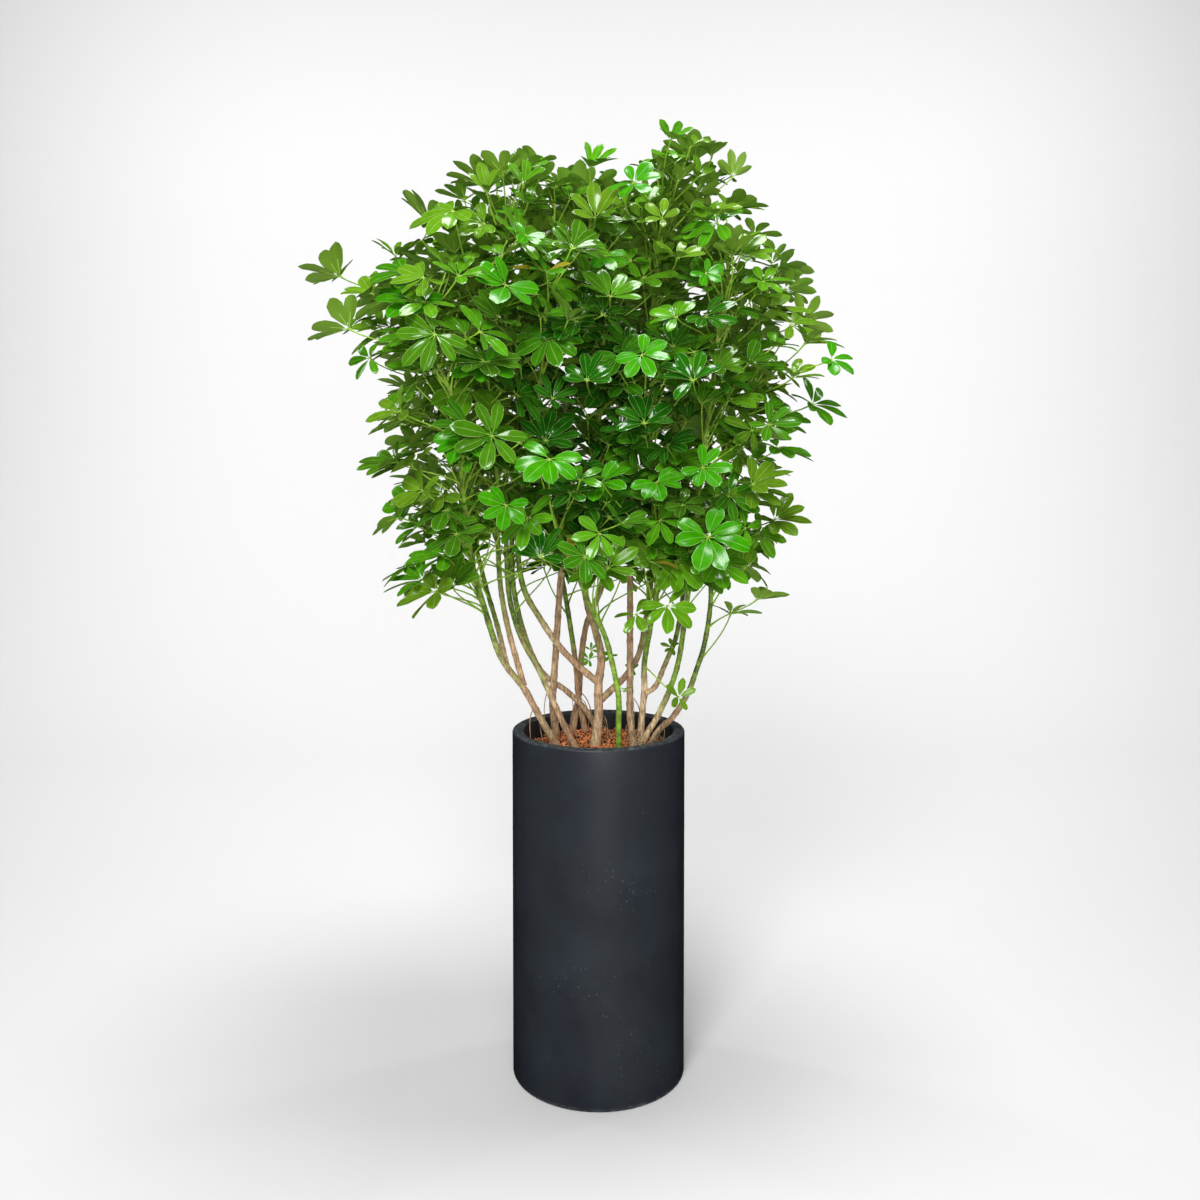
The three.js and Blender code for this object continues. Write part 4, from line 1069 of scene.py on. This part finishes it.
def cast_composite(settings):
    """Fibre-reinforced resin and stone powder, cast and sanded: a matte charcoal with a soft broad
    sheen down its lit side, faint clouds and runs, gathered pale pin holes, a foot paler from wear,
    and a lip paler partly from wear and partly as a painted highlight on its rounded edge."""
    material, tree, shader = new_material("cast_composite", IOR=1.4)
    place = (add(tree, "ShaderNodeTexCoord"), "Object")
    # Clouds are some 120 mm across. Runs left by the sanding are some 60 mm wide and five times as
    # long.
    clouds = add(tree, "ShaderNodeTexNoise", {"Vector": place, "Scale": 8.0, "Detail": 6.0,
                                              "Roughness": 0.62})
    cloudy = add(tree, "ShaderNodeMapRange", {"Value": clouds, "From Min": 0.32, "From Max": 0.68})
    drawn_out = add(tree, "ShaderNodeMapping", {"Vector": place, "Scale": (1.0, 1.0, 0.2)})
    runs = add(tree, "ShaderNodeTexNoise", {"Vector": drawn_out, "Scale": 17.0, "Detail": 2.0})
    run = add(tree, "ShaderNodeMapRange", {"Value": runs, "From Min": 0.4, "From Max": 0.66,
                                           "To Max": 0.45})
    body = add(tree, "ShaderNodeMix", {
        "Factor": cloudy, "A": rgba(settings.colour), "B": rgba(settings.cloud_colour)},
        data_type="RGBA")
    streaked = add(tree, "ShaderNodeMix", {"Factor": run, "A": body,
                                           "B": rgba(settings.run_colour)}, data_type="RGBA")
    # Pin holes are about 1 mm across, drawn at 2 mm, and stand 9 mm apart where they gather.
    pins = add(tree, "ShaderNodeTexVoronoi", {"Vector": place, "Scale": 110.0})
    gather = add(tree, "ShaderNodeTexNoise", {"Vector": place, "Scale": 9.0, "Detail": 2.0})
    where = add(tree, "ShaderNodeMapRange", {"Value": gather, "From Min": 0.54, "From Max": 0.66})
    pin = add(tree, "ShaderNodeMapRange", {"Value": pins, "From Min": 0.05, "From Max": 0.18,
                                           "To Min": 0.4, "To Max": 0.0})
    pinned = add(tree, "ShaderNodeMath", {0: pin, 1: where}, operation="MULTIPLY")
    # The foot is paler from wear over its last 8 mm, and the lip is paler over its last 3 mm, partly
    # from wear and partly as a painted highlight on its rounded edge, both in patches of some 8 mm.
    height = (add(tree, "ShaderNodeSeparateXYZ", {"Vector": place}), "Z")
    lip = add(tree, "ShaderNodeMapRange", {"Value": height, "From Min": settings.height - 0.003,
                                           "From Max": settings.height})
    foot = add(tree, "ShaderNodeMapRange", {"Value": height, "From Min": 0.008, "From Max": 0.0})
    edge = add(tree, "ShaderNodeMath", {0: lip, 1: foot}, operation="MAXIMUM")
    grit = add(tree, "ShaderNodeTexNoise", {"Vector": place, "Scale": 120.0, "Detail": 2.0})
    chafed = add(tree, "ShaderNodeMapRange", {"Value": grit, "From Min": 0.45, "From Max": 0.7,
                                              "To Min": 0.12, "To Max": 0.8})
    worn_and_painted_highlight = add(tree, "ShaderNodeMath", {0: edge, 1: chafed}, operation="MULTIPLY")
    pale = add(tree, "ShaderNodeMath", {0: pinned, 1: worn_and_painted_highlight}, operation="MAXIMUM")
    colour = add(tree, "ShaderNodeMix", {"Factor": pale, "A": streaked,
                                         "B": rgba(settings.pin_colour)}, data_type="RGBA")
    rough = add(tree, "ShaderNodeMapRange", {"Value": cloudy, "To Min": 0.42, "To Max": 0.5})
    # The stone powder's grit is 0.5 mm in life, drawn at 3 mm so that it shows.
    fine = add(tree, "ShaderNodeTexNoise", {"Vector": place, "Scale": 300.0, "Detail": 3.0})
    bump = add(tree, "ShaderNodeBump", {"Height": fine, "Strength": 0.2, "Distance": 0.0005})
    wire(tree, shader, Base_Color=colour, Roughness=rough, Normal=bump)
    return material


def husk_chip(settings):
    """Chopped coconut husk: rough, fibrous and dull, from rust to pale orange from chip to chip."""
    material, tree, shader = new_material("coconut_husk", IOR=1.45, Roughness=0.9)
    place = (add(tree, "ShaderNodeTexCoord"), "Object")
    tint = (add(tree, "ShaderNodeAttribute", attribute_name="tint"), "Fac")
    # Fibres are 0.3 mm thick in life, drawn at 2 mm so that they show.
    fibre = add(tree, "ShaderNodeTexNoise", {"Vector": place, "Scale": 500.0, "Detail": 2.0})
    both = add(tree, "ShaderNodeMath", {0: fibre, 1: 0.4, 2: tint}, operation="MULTIPLY_ADD")
    share = add(tree, "ShaderNodeMapRange", {"Value": both, "From Min": 0.38, "From Max": 1.15})
    colour = add(tree, "ShaderNodeMix", {"Factor": share, "A": rgba(settings.dark_colour),
                                         "B": rgba(settings.light_colour)}, data_type="RGBA")
    wire(tree, shader, Base_Color=colour)
    return material


# ---- Husk chips ------------------------------------------------------------------------------------
def chip_shapes():
    """Torn splinters of unit length, in a collection."""
    shapes = bpy.data.collections.new("Husk chips")
    for i in range(5):
        corners = []
        for k, (x, half) in enumerate(((-0.5, 0.35), (-0.15, 1.0), (0.2, 0.85), (0.5, 0.25))):
            bend = 0.10 * math.sin(1.3 * i + 1.9 * k)
            for y, z in ((-1, -1), (1, -1), (1, 1), (-1, 1)):
                wide = half * (0.08 + 0.05 * draw(i, k, 1)) * (1 + 0.3 * either(1, i, k, int(y + 2)))
                corners.append((x, y * wide, bend + z * 0.06 * half))
        faces = [(3, 2, 1, 0), (12, 13, 14, 15)]
        for ring in (0, 4, 8):
            faces += [(ring + k, ring + (k + 1) % 4, ring + 4 + (k + 1) % 4, ring + 4 + k)
                      for k in range(4)]
        mesh = mesh_from(f"chip_{i}", np.array(corners) / MM, faces=faces, smooth=False)
        shapes.objects.link(bpy.data.objects.new(f"chip_{i}", mesh))
    return shapes


def husk_tree(shapes):
    """Chips strewn over a bed, each turned and tilted at random."""
    tree, given, result = new_tree("Chips on a bed", [
        ("Shapes", "Collection", shapes), ("Chips per area", "Float", 30000.0),
        ("Chip length", "Float", 0.012), ("Seed", "Int", 4), ("Material", "Material", None)])
    spots = add(tree, "GeometryNodeDistributePointsOnFaces", {
        "Mesh": given, "Density": (given, "Chips per area"), "Seed": (given, "Seed")})
    info = add(tree, "GeometryNodeCollectionInfo", {
        "Collection": (given, "Shapes"), "Separate Children": True, "Reset Children": True})
    turn = add(tree, "FunctionNodeRandomValue", {
        "Min": (-0.7, -0.6, 0.0), "Max": (0.7, 0.6, 2 * math.pi), "Seed": (given, "Seed")},
        data_type="FLOAT_VECTOR")
    size = add(tree, "FunctionNodeRandomValue", {
        "Min": (0.5, 0.5, 0.6), "Max": (1.6, 1.5, 1.5), "Seed": (given, "Seed")},
        data_type="FLOAT_VECTOR")
    scaled = add(tree, "ShaderNodeVectorMath", {"Vector": size, "Scale": (given, "Chip length")},
                 operation="SCALE")
    which = add(tree, "FunctionNodeRandomValue", {"Min": 0, "Max": 4, "Seed": (given, "Seed")},
                data_type="INT")
    placed = add(tree, "GeometryNodeInstanceOnPoints", {
        "Points": spots, "Instance": info, "Pick Instance": True, "Instance Index": which,
        "Rotation": turn, "Scale": scaled})
    shade = add(tree, "FunctionNodeRandomValue", {"Seed": (given, "Seed")}, data_type="FLOAT")
    tinted = add(tree, "GeometryNodeStoreNamedAttribute", {
        "Geometry": placed, "Name": "tint", "Value": shade}, data_type="FLOAT", domain="INSTANCE")
    return finished(tree, given, result, tinted)


def turned(name, profile, sides):
    """A mesh of revolution about Z from its profile of (radius, height), from the foot outwards."""
    corners, faces, rings = [], [], []
    for radius, height in profile:
        if radius == 0:
            rings.append([len(corners)] * sides)
            corners.append((0, 0, height))
            continue
        rings.append([len(corners) + k for k in range(sides)])
        corners += [(radius * math.cos(2 * math.pi * k / sides),
                     radius * math.sin(2 * math.pi * k / sides), height) for k in range(sides)]
    for low, high in zip(rings, rings[1:]):
        for k in range(sides):
            face = [low[k], low[(k + 1) % sides], high[(k + 1) % sides], high[k]]
            faces.append(list(dict.fromkeys(face)))
    return mesh_from(name, corners, faces=faces)


def rounded(radius, height, start, round_, steps=4):
    """The rounded corner of a profile, from one side's direction on by a right angle."""
    return [(radius + round_ * math.cos(math.radians(start + 90 * i / steps)),
             height + round_ * math.sin(math.radians(start + 90 * i / steps)))
            for i in range(steps + 1)]


def clear(shapes):
    """Removes the shapes that instances were made of."""
    for shape in list(shapes.objects):
        bpy.data.objects.remove(shape)
    bpy.data.collections.remove(shapes)


# ---- Settings --------------------------------------------------------------------------------------
def colour_property(name, description, hex_colour):
    """A colour that a user can change."""
    return FloatVectorProperty(
        name=name, description=description, default=linear(hex_colour), subtype="COLOR", size=3,
        min=0, max=1)


def length_property(name, description, default, least=0.0):
    """A length in metres that a user can change."""
    return FloatProperty(
        name=name, description=description, default=default, unit="LENGTH", min=least)


def power_property(name, description, default):
    """A light's power that a user can change."""
    return FloatProperty(name=name, description=description, default=default, unit="POWER", min=0)


class UMBRELLA_PG_planter(bpy.types.PropertyGroup):
    """The cast planter."""
    radius: length_property("Radius", "Outer radius of the planter", 0.150, 0.05)
    height: length_property("Height", "Height of the planter", 0.600, 0.1)
    wall: length_property("Wall", "Thickness of its wall", 0.020, 0.002)
    floor: length_property("Floor", "Thickness of its floor", 0.024, 0.002)
    colour: colour_property("Colour", "Darker charcoal of the planter", "#1f232a")
    cloud_colour: colour_property("Cloud colour", "Lighter charcoal of its faint clouds", "#292f37")
    run_colour: colour_property("Run colour", "Warmer charcoal of its faint runs", "#292c2e")
    # On the lip this colour is partly wear and partly a painted highlight.
    pin_colour: colour_property("Pin colour", "Colour of its pin holes and worn edges", "#767d82")


class UMBRELLA_PG_husk(bpy.types.PropertyGroup):
    """The husk chips on the soil."""
    below_rim: length_property("Below the rim", "How far the chips lie below the rim", 0.024)
    chip_length: length_property("Chip length", "Length of a usual chip", 0.013, 0.002)
    density: FloatProperty(name="Chips per square metre", description="How thickly chips are strewn",
                           default=45000, min=0)
    seed: IntProperty(name="Seed", description="Changes how the chips lie", default=4)
    # This colour also covers the bed beneath the chips, as painted shade between them.
    dark_colour: colour_property("Dark colour", "Colour of the darkest chips", "#451307")
    light_colour: colour_property("Light colour", "Colour of the palest chips", "#ffa262")


class UMBRELLA_PG_stems(bpy.types.PropertyGroup):
    """The stems and the leaf stalks."""
    thickness: FloatProperty(name="Thickness", description="Scales how thick stems and stalks are",
                             default=1.0, min=0.2, max=1.05)
    rootlets: IntProperty(name="Rootlets", description="Thin roots in the air at the foot of each "
                          "stem", default=3, min=0)
    relief: length_property("Bark relief", "How far the bark rises and falls", 0.0018)
    bark_colour: colour_property("Bark colour", "Tan of the bark", "#dfc39a")
    bark_red: colour_property("Red bark", "Reddish tan of some stretches of bark", "#c9977a")
    bark_dark: colour_property("Dark bark", "Brown of the bark's dark parts and scars", "#84694a")
    skin_colour: colour_property("Skin colour", "Green of older shoots", "#7fa62e")
    fresh_colour: colour_property("Fresh colour", "Yellow green of the stalks", "#a2d03c")
    mottle_colour: colour_property("Mottle colour", "Dark olive of the blotches", "#3a5612")
    pore_colour: colour_property("Pore colour", "Colour of the pores", "#ead4a8")


class UMBRELLA_PG_leaves(bpy.types.PropertyGroup):
    """The leaves."""
    width: FloatProperty(name="Leaflet width", description="Scales how wide leaflets are",
                         default=1.0, min=0.3, max=2)
    more: IntProperty(name="More leaves", description="Places on each stem where one more leaf may "
                      "grow inside the bush", default=360, min=0)
    old_colour: colour_property("Old colour", "Green of the oldest leaves", "#1a5b08")
    leaf_colour: colour_property("Leaf colour", "Green of grown leaves", "#4c940b")
    new_colour: colour_property("New colour", "Green of new leaves", "#328b00")
    dull_colour: colour_property("Dull colour", "Olive of weathered leaves", "#728a20")
    yellow_colour: colour_property("Yellow colour", "Colour of dying leaflets", "#a8962a")
    # Midribs are truly paler; on the margins this colour is a painted highlight.
    rib_colour: colour_property("Rib colour", "Colour of midribs and margins", "#c0e088")
    under_colour: colour_property("Underside colour", "Olive of the undersides", "#7ea236")
    stalk_colour: colour_property("Stalk colour", "Colour of the leaflets' own stalks", "#a6cf55")


class UMBRELLA_PG_studio(bpy.types.PropertyGroup):
    """The floor, the lights and the camera."""
    paper_colour: colour_property("Paper colour", "Colour of the floor and backdrop", "#e6e6e5")
    key_power: power_property("Key light", "Power of the high front light", 128)
    top_power: power_property("Top light", "Power of the overhead light", 62)
    fill_power: power_property("Fill light", "Power of the low front light", 54)
    back_power: power_property("Backdrop lights", "Power of each backdrop light", 60)
    sky: FloatProperty(name="Surrounding light", description="Strength of the light from all round",
                       default=0.25, min=0)


# ---- Operators -------------------------------------------------------------------------------------
class UMBRELLA_OT_planter(bpy.types.Operator):
    """Cast the planter with rounded lips in place of its plain solid"""
    bl_idname = "umbrella.planter"
    bl_label = "Cast Planter"

    def execute(self, context):
        size = context.scene.umbrella_planter
        radius, height, wall, floor = (
            value / MM for value in (size.radius, size.height, size.wall, size.floor))
        lip, hollow, plain, inner = 4, 3, 60, radius - wall
        profile = [
            (0, 0), (radius - plain, 0), *rounded(radius - lip, lip, -90, lip),
            *[(radius, h) for h in np.linspace(plain, height - plain, 6)],
            *rounded(radius - lip, height - lip, 0, lip),
            *rounded(inner + lip, height - lip, 90, lip), (inner, height - plain),
            (inner, floor + hollow), (inner - hollow, floor), (0, floor)]
        piece = put("planter_cast", turned("planter_cast", profile, 128))
        piece.data.materials.append(cast_composite(size))
        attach(piece, "root")
        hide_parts("planter")
        return {"FINISHED"}


class UMBRELLA_OT_husk(bpy.types.Operator):
    """Strew husk chips over a bed in the planter, dark as painted shade between the chips"""
    bl_idname = "umbrella.husk"
    bl_label = "Strew Husk Chips"

    def execute(self, context):
        size = context.scene.umbrella_husk
        pot = context.scene.umbrella_planter
        off_wall = 1.2
        top = (pot.height - size.below_rim) / MM
        reach = (pot.radius - pot.wall) / MM - off_wall
        material = husk_chip(size)
        low = SOIL_TOP + GAP
        # The bed carries no tint, so it takes the darkest husk colour: painted shade in the gaps
        # between the chips.
        bed = put("husk_bed", turned("husk_bed", [
            (0, low), (reach, low), (reach, top - 9), (reach * 0.8, top - 6), (reach * 0.4, top - 5),
            (0, top - 5)], 48))
        bed.data.materials.append(material)
        shapes = chip_shapes()
        spread = [(0, top - 4), (reach * 0.45, top - 3), (reach * 0.93, top - 7)]
        source = put("spread", turned("spread", spread[::-1], 48))
        chips = grown(source, husk_tree(shapes), "husk_chips", Chips_per_area=size.density,
                      Chip_length=size.chip_length, Seed=size.seed, Material=material)
        clear(shapes)
        for piece in (bed, chips):
            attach(piece, "root")
        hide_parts("husk_mulch")
        return {"FINISHED"}


class UMBRELLA_OT_wood(bpy.types.Operator):
    """Grow the woody bases with their bark, scars and pores"""
    bl_idname = "umbrella.wood"
    bl_label = "Grow Woody Bases"

    def execute(self, context):
        look = context.scene.umbrella_stems
        stems = [Stem(i, entry) for i, entry in enumerate(STEMS)]
        tree, skin = line_tree(), stem_skin("young_bark", look, 0.5)
        for base in range(1, 1 + max(stem.base for stem in stems)):
            lines = Lines()
            for stem in stems:
                if stem.base != base:
                    continue
                add_limb(lines, stem.path, 0, stem.bark, stem.radius,
                         lambda share, top=stem.bark: 0.52 * share / top, stem.index,
                         WOOD_JOINTS, foot=stem.foot() if stem.in_pot else None)
                if stem.in_pot:
                    add_rootlets(lines, stem, look.rootlets)
            name = f"bark_{base:02d}"
            piece = grown(lines.source(name), tree, name, Sides=WOOD_SIDES,
                          Thickness=look.thickness, Skin_relief=look.relief, Material=skin)
            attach(piece, "root")
            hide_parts(f"woody_base_{base:02d}")
        return {"FINISHED"}


class UMBRELLA_OT_foliage(bpy.types.Operator):
    """Grow the green shoots with their leaf stalks and leaves"""
    bl_idname = "umbrella.foliage"
    bl_label = "Grow Leafy Stems"

    def execute(self, context):
        look, leafy = context.scene.umbrella_stems, context.scene.umbrella_leaves
        stems = [Stem(i, entry) for i, entry in enumerate(STEMS)]
        leaves = [settled(stem) for stem in stems]
        for leaf in sum(leaves, []):
            leaf.relax(STANCE_VARIETY)
        taken = [spot for some in leaves for leaf in some for spot in leaf.samples()]
        inner = [between(stem, taken, leafy.more) + sprouts(stem) for stem in stems]
        shapes = leaflet_shapes()
        tubes, blades = line_tree(), leaflet_tree(shapes)
        skin, wax = stem_skin("green_shoot", look, 0.45), waxy_leaf(leafy)
        for stem, outer, more in zip(stems, leaves, inner):
            lines = Lines()
            top = stem.bark
            add_limb(lines, stem.path, top, 1, stem.radius,
                     lambda share: min(1.1, 0.52 + 1.6 * (share - top)) if top else 1.05,
                     100 + stem.index, SHOOT_JOINTS, foot=None if top else stem.foot(), tip=True)
            slim = (stem.radius[1], stem.radius[1] * 0.8)
            for k, fork in enumerate(stem.forks):
                add_limb(lines, fork, 0, 1, slim, lambda share: 0.9 + 0.2 * share,
                         200 + stem.index + 20 * k, FORK_JOINTS, tip=True)
            for leaf in outer + more:
                add_stalk(lines, leaf)
            name = f"foliage_{stem.index + 1:02d}"
            shoots = grown(lines.source(name), tubes, name + "_shoots", Sides=SHOOT_SIDES,
                           Thickness=look.thickness, Skin_relief=SHOOT_RELIEF, Material=skin)
            points = leaflet_points(name + "_points", outer + more, leafy.width)
            blade = grown(points, blades, name + "_blades", Material=wax)
            piece = joined([blade, shoots], name)
            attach(piece, "root")
            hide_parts(f"leafy_stem_{stem.index + 1:02d}")
        clear(shapes)
        return {"FINISHED"}


class UMBRELLA_OT_studio(bpy.types.Operator):
    """Set up the pale floor, the soft lights and the camera"""
    bl_idname = "umbrella.studio"
    bl_label = "Set Up Studio"

    def execute(self, context):
        look = context.scene.umbrella_studio
        paper, _, _ = new_material("backdrop_paper", Base_Color=rgba(look.paper_colour),
                                   Roughness=0.95)
        # The paper reaches as far forwards as to both sides. Behind the plant it bends up.
        bend, depth, height, reach = 2600, 4600, 6000, 9000
        sweep = [(-reach, 0), (depth - bend, 0)]
        sweep += [(depth - bend + bend * math.sin(math.radians(turn)),
                   bend - bend * math.cos(math.radians(turn))) for turn in range(5, 91, 5)]
        sweep += [(depth, height)]
        corners = [(x, y, z) for y, z in sweep for x in (-reach, reach)]
        faces = [(2 * i, 2 * i + 1, 2 * i + 3, 2 * i + 2) for i in range(len(sweep) - 1)]
        floor = put("floor", mesh_from("floor", corners, faces=faces))
        floor.data.materials.append(paper)
        # As if black flags stood round the plant, gloss shows the lamps alone.
        floor.visible_glossy = False
        lights = [
            self.lamp("key", look.key_power, 1.4, (-0.7, -3.3, 3.4)),
            self.lamp("top", look.top_power, 1.1, (0.2, 0.0, 3.9)),
            self.lamp("fill", look.fill_power, 1.5, (0.4, -3.9, 1.2)),
            *[self.lamp(f"backdrop_{side}", look.back_power, 1.5, (across, 1.4, 2.8), (0, 4.6, 2.7))
              for side, across in (("left", -2.6), ("right", 2.6))]]
        world = bpy.data.worlds.new("room")
        context.scene.world = world
        world.use_nodes = True
        world.cycles_visibility.glossy = False
        surround = world.node_tree.nodes["Background"]
        surround.inputs["Color"].default_value = (0.95, 0.97, 1.0, 1)
        surround.inputs["Strength"].default_value = look.sky
        lens = bpy.data.cameras.new("camera")
        lens.lens, lens.sensor_width = 36.0, 36.0
        # The picture's middle lies right of and below the line that the camera looks along.
        picture = 1200
        lens.shift_x, lens.shift_y = 1.5 / picture, -118 / picture
        lens.clip_start, lens.clip_end = 0.05, 60
        camera = bpy.data.objects.new("camera", lens)
        context.scene.collection.objects.link(camera)
        camera.location = (0, -VIEW_DISTANCE * MM, VIEW_HEIGHT * MM)
        camera.rotation_euler = (math.radians(90 - VIEW_DROP), 0, 0)
        context.scene.camera = camera
        context.scene.view_settings.view_transform = "Standard"
        return {"FINISHED"}

    def lamp(self, name, power, size, place, aim=(0, 0, 0.95)):
        """A square soft light that looks at the middle of the plant, or elsewhere."""
        light = bpy.data.lights.new(name, "AREA")
        light.energy, light.size = power, size
        lamp = bpy.data.objects.new(name, light)
        bpy.context.scene.collection.objects.link(lamp)
        lamp.location = place
        lamp.rotation_euler = (Vector(aim) - lamp.location).to_track_quat("-Z", "Y").to_euler()
        return lamp


class UMBRELLA_PT_panel(bpy.types.Panel):
    """Lists the pieces of the potted umbrella plant and their sizes and colours"""
    bl_idname = "UMBRELLA_PT_panel"
    bl_label = "Potted Umbrella Plant"
    bl_space_type = "VIEW_3D"
    bl_region_type = "UI"
    bl_category = "Umbrella Plant"

    def draw(self, context):
        for settings, operators in PARTS:
            box = self.layout.box()
            group = getattr(context.scene, settings)
            for name in group.bl_rna.properties.keys():
                if name not in ("rna_type", "name"):
                    box.prop(group, name)
            for operator in operators:
                box.operator(operator)


PARTS = (
    ("umbrella_planter", ("umbrella.planter",)),
    ("umbrella_husk", ("umbrella.husk",)),
    ("umbrella_stems", ("umbrella.wood",)),
    ("umbrella_leaves", ("umbrella.foliage",)),
    ("umbrella_studio", ("umbrella.studio",)),
)
GROUPS = {
    "umbrella_planter": UMBRELLA_PG_planter,
    "umbrella_husk": UMBRELLA_PG_husk,
    "umbrella_stems": UMBRELLA_PG_stems,
    "umbrella_leaves": UMBRELLA_PG_leaves,
    "umbrella_studio": UMBRELLA_PG_studio,
}
CLASSES = (
    *GROUPS.values(), UMBRELLA_OT_planter, UMBRELLA_OT_husk, UMBRELLA_OT_wood,
    UMBRELLA_OT_foliage, UMBRELLA_OT_studio, UMBRELLA_PT_panel)


def register():
    for cls in CLASSES:
        bpy.utils.register_class(cls)
    for name, group in GROUPS.items():
        setattr(bpy.types.Scene, name, PointerProperty(type=group))


def unregister():
    for name in GROUPS:
        delattr(bpy.types.Scene, name)
    for cls in reversed(CLASSES):
        bpy.utils.unregister_class(cls)


def main():
    register()
    bpy.ops.umbrella.planter()
    bpy.ops.umbrella.husk()
    bpy.ops.umbrella.wood()
    bpy.ops.umbrella.foliage()
    bpy.ops.umbrella.studio()


if __name__ == "__main__":
    main()
